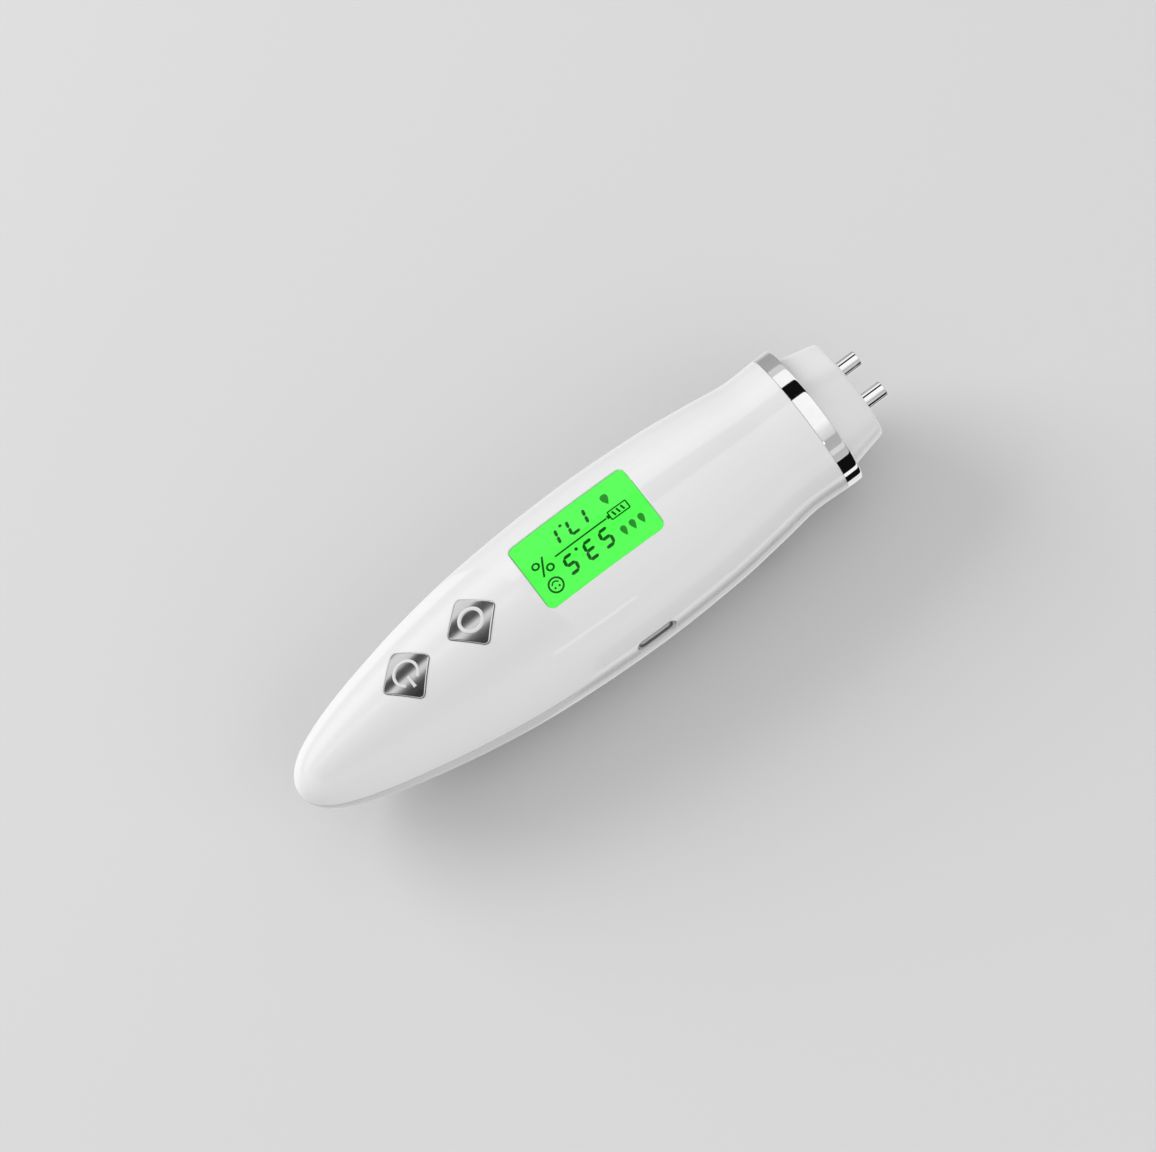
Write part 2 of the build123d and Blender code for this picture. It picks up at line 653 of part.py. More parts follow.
def electrode(side):
    """A turned pin: polished tip, retaining flange and a thin stem through the probe board."""
    y = side * PIN_SPACING / 2
    flange_front = HEAD_END - HEAD_FRONT_WALL - FIT_GAP
    flange_back = flange_front - PIN_FLANGE_THICKNESS
    pin = rod(flange_back, LENGTH, y, 0, PIN_RADIUS)
    pin = chamfer(pin.edges().group_by(Axis.X)[-1], PIN_CHAMFER)
    pin += rod(flange_back, flange_front, y, 0, PIN_FLANGE_RADIUS)
    pin += rod(STEM_END, flange_back, y, 0, STEM_RADIUS)
    return solid_of(pin)


def electrode_spring(side):
    """The coil spring between the probe board and the electrode's flange."""
    y = side * PIN_SPACING / 2
    start = SHOULDER + SPRING_WIRE
    end = HEAD_END - HEAD_FRONT_WALL - FIT_GAP - PIN_FLANGE_THICKNESS - SPRING_WIRE
    coil = Helix(pitch=SPRING_PITCH, height=end - start, radius=SPRING_RADIUS)
    wire = sweep(Plane(origin=coil @ 0, z_dir=coil % 0) * Circle(SPRING_WIRE), path=coil)
    return Pos(start, y, 0) * Rot(0, 90, 0) * solid_of(wire)


def screws_at(places, seat, tip, shank, head, head_height):
    """A group of identical upright screws; the head lies on the far side of the seat from the tip."""
    group = [screw(x, y, seat, tip, shank, head, head_height, tip < seat) for x, y in places]
    return Compound(children=group)


def save(name, shape):
    """Moves a piece to the part's frame and writes its file."""
    placed = Location((-LENGTH / 2, 0, AXIS_HEIGHT)) * shape
    export_step(placed, f"parts/{name}.step")


def main():
    os.makedirs("parts", exist_ok=True)
    outer = envelope()
    inner = envelope(-WALL)
    skin = envelope(-0.4)
    save("front_shell", front_shell(outer, inner, envelope(-LIP_WALL), skin))
    save("rear_shell", rear_shell(outer, inner, envelope(-LIP_WALL - FIT_GAP), skin))
    save("trim_ring", trim_ring())
    save("probe_head", probe_head())
    save("display_window", display_window(envelope(-FIT_GAP)))
    save("lcd_front_glass", lcd_front_glass())
    save("lcd_rear_glass", lcd_rear_glass())
    save("backlight_panel", backlight_panel())
    save("backlight_lamps", backlight_lamps())
    save("lcd_frame", lcd_frame())
    save("lcd_contact_strip", lcd_contact_strip())
    save("main_board", main_board())
    save("main_board_parts", main_board_parts())
    save("controller_chip", controller_chip())
    save("main_board_screws", screws_at(BOARD_SCREWS, BOARD_BOTTOM, BOARD_TOP + 3, 0.7, 1.5, 0.9))
    raised = envelope(BUTTON_RISE)
    for name, station in BUTTONS.items():
        save(f"{name}_button", button_cap(station, raised))
        save(f"{name}_switch_plunger", switch_plunger(station))
        save(f"{name}_switch_body", switch_body(station))
    save("charge_board", charge_board())
    save("charge_board_parts", charge_board_parts())
    save("charge_board_screws", screws_at(CHARGE_SCREWS, CHARGE_TOP, CHARGE_TOP - 4.5, 0.7, 1.5, 0.9))
    save("usb_socket_shell", usb_socket_shell())
    save("usb_socket_tongue", usb_socket_tongue())
    save("battery_cell", battery_cell())
    save("battery_pad", battery_pad())
    save("battery_connector", battery_connector())
    save("battery_lead_red", battery_lead(BATTERY_LEADS[0], 3.6))
    save("battery_lead_black", battery_lead(BATTERY_LEADS[1], 1.4))
    save("link_leads", link_leads())
    head = (SCREW_HEAD_RADIUS, SCREW_HEAD_HEIGHT)
    save("case_screws", screws_at(CASE_SCREWS, SCREW_SEAT, SCREW_TIP, SCREW_RADIUS, *head))
    save("probe_board", probe_board())
    save("probe_board_screws", probe_board_screws())
    for name, side in (("left", 1), ("right", -1)):
        save(f"electrode_{name}", electrode(side))
        save(f"electrode_spring_{name}", electrode_spring(side))
        save(f"probe_lead_{name}", probe_lead(side))


main()
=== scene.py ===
# A pen-shaped skin moisture meter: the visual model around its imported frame.
import math

import bpy
import numpy as np
from mathutils import Matrix, Vector
from mathutils.geometry import delaunay_2d_cdt


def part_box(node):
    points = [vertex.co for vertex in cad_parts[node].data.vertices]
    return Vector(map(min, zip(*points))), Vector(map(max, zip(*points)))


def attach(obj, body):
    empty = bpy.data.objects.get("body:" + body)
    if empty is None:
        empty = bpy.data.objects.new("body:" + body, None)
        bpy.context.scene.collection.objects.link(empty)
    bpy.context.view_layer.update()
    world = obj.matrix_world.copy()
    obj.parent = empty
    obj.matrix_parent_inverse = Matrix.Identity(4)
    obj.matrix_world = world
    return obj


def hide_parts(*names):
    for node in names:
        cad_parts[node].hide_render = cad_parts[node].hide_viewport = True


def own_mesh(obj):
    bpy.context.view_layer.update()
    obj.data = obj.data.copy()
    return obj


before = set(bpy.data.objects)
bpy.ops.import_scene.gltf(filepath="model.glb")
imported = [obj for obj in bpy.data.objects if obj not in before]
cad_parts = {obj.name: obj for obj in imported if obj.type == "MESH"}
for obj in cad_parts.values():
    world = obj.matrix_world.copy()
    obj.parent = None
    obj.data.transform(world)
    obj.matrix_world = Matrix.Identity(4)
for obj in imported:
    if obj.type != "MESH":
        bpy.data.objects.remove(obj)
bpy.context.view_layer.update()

# Shapes are worked out in millimetres in the pen's own frame: stations from the tail tip along the pen,
# y across it and z up from the casing's parting plane. TAIL and PARTING place that frame in the row frame.
MM = 0.001
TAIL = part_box("front_shell")[0].x
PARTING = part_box("front_shell")[0].z
CASE_BODY = "case"


def span(node):
    """A CAD node's limits in the pen's frame, as three (low, high) pairs in millimetres."""
    low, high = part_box(node)
    origin = (TAIL, 0.0, PARTING)
    return [((low[i] - origin[i]) / MM, (high[i] - origin[i]) / MM) for i in range(3)]


def middle(pair):
    return (pair[0] + pair[1]) / 2


# Sizes that a node's box doesn't give, in millimetres.
STATIONS = np.array([
    (0.0, 0.0, 0.0),
    (1.0, 3.35, 3.2),
    (4.0, 6.35, 6.1),
    (9.0, 8.9, 8.4),
    (16.0, 11.35, 10.5),
    (25.0, 13.7, 12.35),
    (36.0, 16.1, 13.95),
    (52.0, 18.4, 15.35),
    (76.0, 19.6, 16.1),
    (96.0, 18.8, 15.7),
    (108.0, 17.35, 15.0),
    (117.0, 16.1, 14.3),
    (124.4, 16.3, 14.5),
])  # station, half width, half thickness of the casing
WALL = 2.0
PARTING_GAP = 0.07
PARTING_ROLL = 0.16
WINDOW_LENGTH = 28.1
WINDOW_WIDTH = 17.0
WINDOW_RADIUS = 1.45
BUTTON_ALONG = 6.0
BUTTON_ACROSS = 6.4
BUTTON_RADIUS = 1.0
BUTTON_GAP = 0.04
OPENING_ROLL = 0.32
HEAD_BASE = (13.6, 12.0)
HEAD_FACE = (11.6, 10.0)
HEAD_NECK = (13.4, 11.7)
PIN_RADIUS = 1.75
RING_CROWN = 0.04
RECESS_RADIUS = 2.05
RECESS_SEAT = 7.0
LAND_BLEND = 0.08
SPRING_WIRE = 0.2
SPRING_PITCH = 1.3
STEM_RADIUS = 0.8
FLANGE_THICKNESS = 1.3
FLANGE_GAP = 0.1
HEAD_ROOT = 3.1  # how far the nose reaches back into the ring
HEAD_WALL = 1.3
HEAD_ROOT_WALL = 1.6
HEAD_FRONT_WALL = 2.0
HEAD_ROLL = 0.7
HEAD_TAPER = 0.1
TAIL_SOLID = 1.6  # the hollow starts this far from the tail tip
END_ROLL = 0.12
PORT_GAP = 0.13
CAP_RISE = 0.22
CAP_ROLL = 0.15
CAP_BOTTOM = 10.6

# How finely the pieces are meshed. Rows of the casing lie closer towards the tail tip, where they are
# spaced by the square root of the station.
GRID_STEP = 1.0
SLAB_STEP = 0.7
ROOT_START, ROOT_STEP, ROOT_END = 0.22, 0.2, 3.2
COLUMN_STEP, COLUMN_END = 3.0, 84.0  # degrees round the casing
CLEAR_ON_TOP, CLEAR_ON_SIDE = 1.05, 0.62  # no grid points this near an opening
SPRING_SIDES = 10
SPRING_STEPS = 28  # sections in one turn
SHARP_ANGLE = 38.0  # degrees
SAME_SIDE = 0.8  # cosine between a corner's own normal and the smooth one that may replace it
FAR = 99.0

CASE_END = span("front_shell")[0][1]
RING_END = span("trim_ring")[0][1]
HEAD_END = span("probe_head")[0][1]
LAND = -span("rear_shell")[2][0]
WINDOW_MIDDLE = middle(span("display_window")[0])
PORT = span("usb_socket_shell")


# ------------------------------------ surfaces


def half_sizes(station):
    """Half width and half thickness of the casing, smooth over the square root of the station."""
    at = np.sqrt(np.maximum(np.asarray(station, float), 0.0))
    knots = np.sqrt(STATIONS[:, 0])
    last = len(knots) - 2
    k = np.clip(np.searchsorted(knots, at) - 1, 0, last)
    gap = knots[k + 1] - knots[k]
    part = (at - knots[k]) / gap
    low, high = np.maximum(np.arange(last + 2) - 1, 0), np.minimum(np.arange(last + 2) + 1, last + 1)
    found = []
    for column in (1, 2):
        values = STATIONS[:, column]
        slope = (values[high] - values[low]) / (knots[high] - knots[low])
        rise = (2 * part**3 - 3 * part**2 + 1) * values[k] + (3 * part**2 - 2 * part**3) * values[k + 1]
        lean = (part**3 - 2 * part**2 + part) * slope[k] + (part**3 - part**2) * slope[k + 1]
        found.append(rise + gap * lean)
    return found


def on_casing(s, y, grow=0.0):
    """Points of the upper casing surface, grown by grow, above places (s, y)."""
    a, b = half_sizes(s)
    reach = np.clip(np.asarray(y) / (a + grow), -1, 1)
    return np.column_stack([s, y, (b + grow) * np.sqrt(1 - reach**2)])


def casing_normal(p):
    """Outward normals of the upper casing surface at points in the pen's frame."""
    step = 0.02
    a, b = half_sizes(p[:, 0])
    a2, b2 = half_sizes(p[:, 0] + step)
    y, z = p[:, 1], p[:, 2]
    along = -(y**2 * (a2 - a) / a**3 + z**2 * (b2 - b) / b**3) / step
    n = np.column_stack([along, y / a**2, z / b**2])
    return n / np.linalg.norm(n, axis=1)[:, None]


def mesh_object(name, points, faces, exact=None):
    """A mesh piece from points in the pen's frame. exact maps vertex numbers to smooth normals."""
    placed = np.asarray(points, float) * MM + np.array([TAIL, 0.0, PARTING])
    mesh = bpy.data.meshes.new(name)
    mesh.from_pydata([tuple(p) for p in placed], [], [tuple(int(i) for i in f) for f in faces])
    mesh.validate()
    mesh.set_sharp_from_angle(angle=math.radians(SHARP_ANGLE))
    if exact:
        corners = np.zeros(len(mesh.loops) * 3, np.float32)
        mesh.corner_normals.foreach_get("vector", corners)
        corners = corners.reshape(-1, 3)
        for i, loop in enumerate(mesh.loops):
            n = exact.get(loop.vertex_index)
            if n is not None and corners[i] @ n > SAME_SIDE:
                corners[i] = n
        mesh.normals_split_custom_set([tuple(c) for c in corners])
    made = bpy.data.objects.new(name, mesh)
    bpy.context.scene.collection.objects.link(made)
    return made


def roll_steps(radius):
    """Distances from an edge at which a rounded edge of that radius has its loops."""
    return [radius * (1 - math.sin(math.radians(angle))) for angle in (90, 72, 54, 36, 18, 0)]


def roll_drop(distance, radius):
    """How far a rounded edge lies below the surface at a distance from the edge."""
    within = np.clip(radius - distance, 0, radius)
    return radius - np.sqrt(np.maximum(radius**2 - within**2, 0))


def outward(loop):
    """Unit normals of a closed counter-clockwise loop."""
    ahead = np.roll(loop, -1, 0) - np.roll(loop, 1, 0)
    n = np.column_stack([ahead[:, 1], -ahead[:, 0]])
    return n / np.linalg.norm(n, axis=1)[:, None]


def distance_to(points, loop):
    """Signed distance from points to a closed counter-clockwise loop, positive outside it."""
    a = loop
    d = np.roll(loop, -1, 0) - a
    rel = points[:, None, :] - a[None]
    t = np.clip((rel * d).sum(2) / (d * d).sum(1), 0, 1)
    gap = np.linalg.norm(rel - t[..., None] * d, axis=2).min(1)
    return np.where(inside(points, loop), -gap, gap)


def inside(points, loop):
    """Which points are inside a closed loop, by the even-odd rule."""
    x, y = points[:, 0][:, None], points[:, 1][:, None]
    ax, ay = loop[:, 0], loop[:, 1]
    bx, by = np.roll(ax, -1), np.roll(ay, -1)
    crosses = (ay > y) != (by > y)
    with np.errstate(divide="ignore", invalid="ignore"):
        at = ax + (y - ay) * (bx - ax) / (by - ay)
    return (crosses & (x < at)).sum(1) % 2 == 1


def rounded_polygon(corners, radius, step):
    """A counter-clockwise polygon with round corners, as points about step apart."""
    out = []
    count = len(corners)
    for i in range(count):
        before, here, after = (np.array(corners[(i + k) % count], float) for k in (-1, 0, 1))
        u, v = (before - here), (after - here)
        u, v = u / np.linalg.norm(u), v / np.linalg.norm(v)
        half = math.acos(np.clip(u @ v, -1, 1)) / 2
        centre = here + (u + v) / np.linalg.norm(u + v) * radius / math.sin(half)
        start, end = here + u * radius / math.tan(half) - centre, here + v * radius / math.tan(half) - centre
        a0 = math.atan2(start[1], start[0])
        turn = (math.atan2(end[1], end[0]) - a0) % (2 * math.pi)
        steps = max(int(round(turn * radius / step)), 6)
        for k in range(steps + 1):
            a = a0 + turn * k / steps
            out.append(centre + radius * np.array([math.cos(a), math.sin(a)]))
    full = []
    for i, p in enumerate(out):
        q = out[(i + 1) % len(out)]
        parts = max(int(round(np.linalg.norm(q - p) / step)), 1)
        full += [p + (q - p) * k / parts for k in range(parts)]
    return np.array(full)


def diamond(station, grow):
    """A button's outline, grown evenly."""
    reach = 1 + grow * math.hypot(BUTTON_ALONG, BUTTON_ACROSS) / (BUTTON_ALONG * BUTTON_ACROSS)
    along, across = BUTTON_ALONG * reach, BUTTON_ACROSS * reach
    corners = [(station + along, 0), (station, across), (station - along, 0), (station, -across)]
    return rounded_polygon(corners, BUTTON_RADIUS + max(grow, 0), 0.3)


def window_outline(grow):
    """The display window's outline, grown evenly."""
    x, y = WINDOW_LENGTH / 2 + grow, WINDOW_WIDTH / 2 + grow
    corners = [(x, -y), (x, y), (-x, y), (-x, -y)]
    corners = [(WINDOW_MIDDLE + cx, cy) for cx, cy in corners]
    return rounded_polygon(corners, WINDOW_RADIUS + grow, 0.35)


def circle(centre, radius, count=48):
    angles = np.arange(count) * 2 * math.pi / count
    return np.column_stack([centre[0] + radius * np.cos(angles), centre[1] + radius * np.sin(angles)])


def slot_outline(grow):
    """The charging slot's outline in (station, z)."""
    x, z = (PORT[0][1] - PORT[0][0]) / 2 + grow, (PORT[2][1] - PORT[2][0]) / 2 + grow
    c = middle(PORT[0])
    corners = [(c + x, -z), (c + x, z), (c - x, z), (c - x, -z)]
    return rounded_polygon(corners, z - 0.08, 0.25)


def triangulate(points, loops):
    """Delaunay triangles of 2-D points, keeping the edges of the loops (lists of point numbers)."""
    edges = [(a, b) for loop in loops for a, b in zip(loop, loop[1:])]
    found = delaunay_2d_cdt([Vector(p) for p in points], edges, [], 0, 1e-6, True)
    verts, faces = found[0], found[2]
    return np.array([tuple(v) for v in verts]), np.array([tuple(f) for f in faces])


def boundary_edges(faces):
    """Directed edges that have a face on one side only."""
    seen = {}
    for f in faces:
        for a, b in zip(f, np.roll(f, -1)):
            seen[(int(a), int(b))] = True
    return [edge for edge in seen if (edge[1], edge[0]) not in seen]


def closed_body(name, top, bottom, faces, exact):
    """A watertight piece: one triangulation on top, the same below, and walls between their edges."""
    count = len(top)
    upper = [tuple(f) for f in faces]
    lower = [(f[2] + count, f[1] + count, f[0] + count) for f in faces]
    walls = [(b, a, a + count, b + count) for a, b in boundary_edges(faces)]
    return mesh_object(name, np.vstack([top, bottom]), upper + lower + walls, exact=exact)


# ------------------------------------ casing


class Opening:
    """A hole through a shell: its outline in (s, y), or in (s, z) on the -Y side, and its seat's height."""

    def __init__(self, outline, sideways=False, seat=None):
        self.outline = outline
        self.sideways = sideways
        self.seat = seat

    def distance(self, p):
        flat = p[:, [0, 2]] if self.sideways else p[:, [0, 1]]
        found = distance_to(flat, self.outline)
        return np.where(p[:, 1] < 0, found, FAR) if self.sideways else found


def angle_of(s, y):
    """The angle round the casing of a place (s, y), 0 on top and 90 degrees at the +Y parting line."""
    a = half_sizes(s)[0]
    return np.degrees(np.arcsin(np.clip(y / a, -1, 1)))


def shell_points(s, angle):
    """Points on the casing at stations and angles."""
    a, b = half_sizes(s)
    turn = np.radians(angle)
    return np.column_stack([s, a * np.sin(turn), b * np.cos(turn)])


def shell_layout(openings):
    """The places (station, angle) of a half shell's vertices, with loops round each opening."""
    t = np.arange(ROOT_START, math.sqrt(CASE_END), ROOT_STEP)
    rows = t[t < ROOT_END] ** 2
    rows = np.concatenate([rows, np.arange(rows[-1] + 0.9, CASE_END - 0.5, GRID_STEP)])
    rows = np.concatenate([rows, CASE_END - np.array([0.45] + roll_steps(END_ROLL)[::-1])])
    columns = np.arange(-COLUMN_END, COLUMN_END + 0.1, COLUMN_STEP)
    grid = np.array([(s, c) for s in rows for c in columns])
    edge = []
    for s in rows:
        b = float(half_sizes(s)[1])
        for d in roll_steps(PARTING_ROLL) + [PARTING_ROLL * 2.2]:
            tilt = math.degrees(d / max(b, 1.2))
            edge += [(s, 90 - tilt), (s, tilt - 90)]
    cloud = np.vstack([grid, np.array(edge)])
    place = shell_points(cloud[:, 0], cloud[:, 1])
    keep = np.ones(len(cloud), bool)
    loops = []
    for opening in openings:
        keep &= opening.distance(place) > (CLEAR_ON_SIDE if opening.sideways else CLEAR_ON_TOP)
        bands = roll_steps(OPENING_ROLL) + [OPENING_ROLL * 1.9]
        bands += [] if opening.sideways else [1.0]
        n = outward(opening.outline)
        for d in bands:
            ring = opening.outline + n * d
            if opening.sideways:
                ring = ring[ring[:, 1] >= 0]
                ring = ring[np.argsort(-ring[:, 0])]
                ring = np.vstack([[ring[0, 0], 0], ring, [ring[-1, 0], 0]])
                b = half_sizes(ring[:, 0])[1]
                loops.append(np.column_stack([ring[:, 0], np.degrees(np.arcsin(ring[:, 1] / b)) - 90]))
            else:
                ring = np.vstack([ring, ring[:1]])
                loops.append(np.column_stack([ring[:, 0], angle_of(ring[:, 0], ring[:, 1])]))
    return cloud[keep], loops


def half_shell(name, side, openings):
    """One half of the casing. side is 1 for the front half and -1 for the rear one."""
    cloud, loops = shell_layout(openings)
    places, chains = [cloud], []
    count = len(cloud)
    for loop in loops:
        chains.append(list(range(count, count + len(loop))))
        places.append(loop)
        count += len(loop)
    flat = np.vstack(places)
    scale = np.array([1.0, 0.3])
    verts, faces = triangulate(flat * scale, chains)
    flat = verts / scale
    surface = shell_points(flat[:, 0], flat[:, 1])
    centres = surface[faces].mean(1)
    keep = np.ones(len(faces), bool)
    drop = roll_drop(np.abs(surface[:, 2]), PARTING_ROLL)
    drop = np.maximum(drop, roll_drop(CASE_END - surface[:, 0], END_ROLL))
    floor = np.full(len(surface), -1.0)
    for opening in openings:
        keep &= opening.distance(centres) > 0
        gap = np.maximum(opening.distance(surface), 0)
        drop = np.maximum(drop, roll_drop(gap, OPENING_ROLL))
        if opening.seat is not None:
            floor[gap < 0.5] = opening.seat
    faces = faces[keep]
    normal = casing_normal(surface)
    top = surface - normal * drop[:, None]
    if side < 0:
        over = (top[:, 2] - LAND) / LAND_BLEND
        top[:, 2] -= LAND_BLEND * np.logaddexp(0, over)
        normal[:, :2] *= (1 / (1 + np.exp(over)))[:, None]
        normal /= np.linalg.norm(normal, axis=1)[:, None]
    # The half starts a gap off the parting plane and still ends at its full height.
    top[:, 2] = PARTING_GAP + top[:, 2] * (1 - PARTING_GAP / 16)

    # The inner wall leans outwards from 35 degrees on, to end as a flat rim on the parting line.
    a, b = half_sizes(surface[:, 0])
    slant = np.clip((np.abs(flat[:, 1]) - 35) / 55, 0, 1)
    slant = slant**2 * (3 - 2 * slant)
    thin = np.minimum(WALL, 0.6 * b)
    y = surface[:, 1] * (1 - slant * thin / a)
    z = (b - thin) * np.sqrt(np.clip(1 - (y / (a - thin)) ** 2, 0, 1))
    z = np.where(slant >= 0.999, 0.0, z)
    z = np.where(floor > 0, floor, z)
    bottom = np.column_stack([surface[:, 0], y, PARTING_GAP + z])
    bottom[:, 0] = np.maximum(bottom[:, 0], TAIL_SOLID)
    smooth = (drop < 1e-6) & (surface[:, 0] > 0.3)
    flip = np.array([1, 1, side])
    exact = {int(i): normal[i] * flip for i in np.flatnonzero(smooth)}
    top, bottom = top * flip, bottom * flip
    top, bottom, faces = close_tail(top, bottom, faces, side)
    if side < 0:
        faces = faces[:, ::-1]
    return closed_body(name, top, bottom, faces, exact)


def close_tail(top, bottom, faces, side):
    """Closes the tail with a fan of triangles to the tip."""
    edges = [e for e in boundary_edges(faces) if max(top[e[0], 0], top[e[1], 0]) < 0.1]
    tip = len(top)
    top = np.vstack([top, [0.0, 0.0, side * PARTING_GAP]])
    bottom = np.vstack([bottom, [TAIL_SOLID, 0.0, side * PARTING_GAP]])
    fan = np.array([(b, a, tip) for a, b in edges])
    return top, bottom, np.vstack([faces, fan])


def make_casing():
    port = Opening(slot_outline(PORT_GAP), sideways=True)
    front_holes = [Opening(window_outline(0.04)), port]
    for node in ("power_button", "mode_button"):
        front_holes.append(Opening(diamond(middle(span(node)[0]), BUTTON_GAP)))
    front = half_shell("casing_front", 1, front_holes)
    recesses = [Opening(circle(p, RECESS_RADIUS), seat=RECESS_SEAT) for p in screw_places()]
    rear = half_shell("casing_rear", -1, recesses + [port])
    finish_piece(front, WHITE, node="front_shell")
    finish_piece(rear, GREY_AND_SHADE, node="rear_shell")


def screw_places():
    """The case screws' places (s, y), read from their own mesh."""
    co = np.array([v.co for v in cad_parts["case_screws"].data.vertices])
    s, y = (co[:, 0] - TAIL) / MM, co[:, 1] / MM
    found = []
    for pick in (s < 50, (s > 50) & (y > 0), (s > 50) & (y < 0)):
        found.append((middle((s[pick].min(), s[pick].max())), middle((y[pick].min(), y[pick].max()))))
    return found


# ------------------------------------ slabs that follow the casing


def slab(name, outline, grow, bottom, roll):
    """A piece whose top follows the casing at grow, with rounded edges. bottom is a function of points."""
    n = outward(outline)
    loops = [outline - n * d for d in roll_steps(roll) + [roll * 1.8, roll * 3.0]]
    low, high = outline.min(0), outline.max(0)
    across = np.arange(low[1], high[1], SLAB_STEP)
    grid = np.array([(x, y) for x in np.arange(low[0], high[0], SLAB_STEP) for y in across])
    grid = grid[distance_to(grid, outline) < -(roll * 3.0 + SLAB_STEP / 2)]
    flat, chains, count = [grid], [], len(grid)
    for loop in loops:
        chains.append(list(range(count, count + len(loop))) + [count])
        flat.append(loop)
        count += len(loop)
    verts, faces = triangulate(np.vstack(flat), chains)
    keep = inside(verts[faces].mean(1), outline)
    faces = faces[keep]
    gap = np.maximum(-distance_to(verts, outline), 0)
    top = on_casing(verts[:, 0], verts[:, 1], grow)
    normal = casing_normal(top)
    top = top - normal * roll_drop(gap, roll)[:, None]
    exact = {int(i): normal[i] for i in np.flatnonzero(gap > roll)}
    return closed_body(name, top, bottom(verts), faces, exact)


def at_height(z):
    """A flat underside at height z."""
    return lambda flat: np.column_stack([flat, np.full(len(flat), z)])


def at_grow(grow):
    """A surface that follows the casing at grow."""
    return lambda flat: on_casing(flat[:, 0], flat[:, 1], grow)


def make_display():
    lens = slab("display_lens", window_outline(-0.05), -0.04, at_grow(-0.42), 0.12)
    finish_piece(lens, LENS, node="display_window")
    sheet = slab("display_sheet", window_outline(-0.08), PICTURE_LOW, at_grow(-0.9), 0.05)
    finish_piece(sheet, DISPLAY_GREEN)


# ------------------------------------ turned and plain pieces


class Weld:
    """Gathers points and faces, joining points that fall together."""

    def __init__(self):
        self.points, self.faces, self.known = [], [], {}

    def add(self, points):
        found = []
        for p in np.asarray(points, float):
            key = tuple(np.round(p, 3))
            if key not in self.known:
                self.known[key] = len(self.points)
                self.points.append(p)
            found.append(self.known[key])
        return found

    def strip(self, first, second, closed=True):
        """Quads between two rows of point numbers."""
        count = len(first)
        for i in range(count if closed else count - 1):
            j = (i + 1) % count
            self.face((first[i], first[j], second[j], second[i]))

    def face(self, numbers):
        kept = [n for i, n in enumerate(numbers) if n != numbers[i - 1]]
        if len(kept) > 2:
            self.faces.append(tuple(kept))

    def flat(self, loops, place, flip=False):
        """Triangles between an outer loop and its holes; place turns the 2-D points to 3-D ones."""
        chains, count = [], 0
        for loop in loops:
            chains.append(list(range(count, count + len(loop))) + [count])
            count += len(loop)
        verts, faces = triangulate(np.vstack(loops), chains)
        centres = verts[faces].mean(1)
        keep = inside(centres, loops[0])
        for hole in loops[1:]:
            keep &= ~inside(centres, hole)
        numbers = self.add(place(verts))
        for f in faces[keep]:
            row = [numbers[i] for i in f]
            self.face(row[::-1] if flip else row)

    def plate(self, outline, low, high):
        """A thin plate with an outline in (s, y); low and high turn its 2-D points to 3-D ones."""
        self.flat([outline], high)
        self.flat([outline], low, flip=True)
        self.strip(self.add(low(outline)), self.add(high(outline)))

    def build(self, name, even=True):
        made = mesh_object(name, self.points, self.faces)
        if even:
            modifier = made.modifiers.new("even_normals", "WEIGHTED_NORMAL")
            modifier.keep_sharp = True
        return made


def section(s, a, b, count=144, centre=(0.0, 0.0)):
    """An ellipse across the pen, as points going round from +Y towards +Z."""
    t = np.arange(count) * 2 * math.pi / count
    return np.column_stack([np.full(count, s), centre[0] + a * np.cos(t), centre[1] + b * np.sin(t)])


def at_station(s):
    """A flat face across the pen at a station."""
    return lambda flat: np.column_stack([np.full(len(flat), s), flat])


def rounded_end(s, grow, radius, steps=6):
    """Profile rows (station, growth) that round an outer edge facing the nose at s."""
    turns = np.radians(np.linspace(0, 90, steps + 1))
    return [(s - radius * (1 - math.sin(t)), grow - radius * (1 - math.cos(t))) for t in turns]


def rounded_start(s, grow, radius, steps=4):
    """Profile rows that round an outer edge facing the tail at s."""
    turns = np.radians(np.linspace(90, 0, steps + 1))
    return [(s + radius * (1 - math.sin(t)), grow - radius * (1 - math.cos(t))) for t in turns]


def turned(name, profile, closed=False, count=144, centre=(0.0, 0.0)):
    """A round or oval piece from (station, a, b) rows, tail to nose; open profiles get flat ends."""
    weld = Weld()
    rows = [weld.add(section(s, a, b, count, centre)) for s, a, b in profile]
    for first, second in zip(rows, rows[1:]):
        weld.strip(first, second)
    if closed:
        weld.strip(rows[-1], rows[0])
    else:
        weld.face(tuple(rows[0][::-1]))
        weld.face(tuple(rows[-1]))
    return weld.build(name)


def finish_piece(piece, look, body=CASE_BODY, node=None):
    piece.data.materials.append(look)
    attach(piece, body)
    if node:
        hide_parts(node)


def make_ring():
    a, b = (float(v) for v in half_sizes(CASE_END))
    low, high = CASE_END + 0.01, RING_END
    rows = rounded_start(low, 0.0, 0.04)
    for part in np.linspace(0.1, 0.9, 9):
        rows.append((low + part * (high - low), RING_CROWN * (1 - (2 * part - 1) ** 2)))
    rows += rounded_end(high, 0.0, 0.3)
    outer = [(s, a + grow, b + grow) for s, grow in rows]
    profile = [(low, 14.0, 12.2)] + outer + [(high, 13.75, 12.1)]
    ring = turned("chrome_ring", profile, closed=True, count=192)
    finish_piece(ring, CHROME, node="trim_ring")


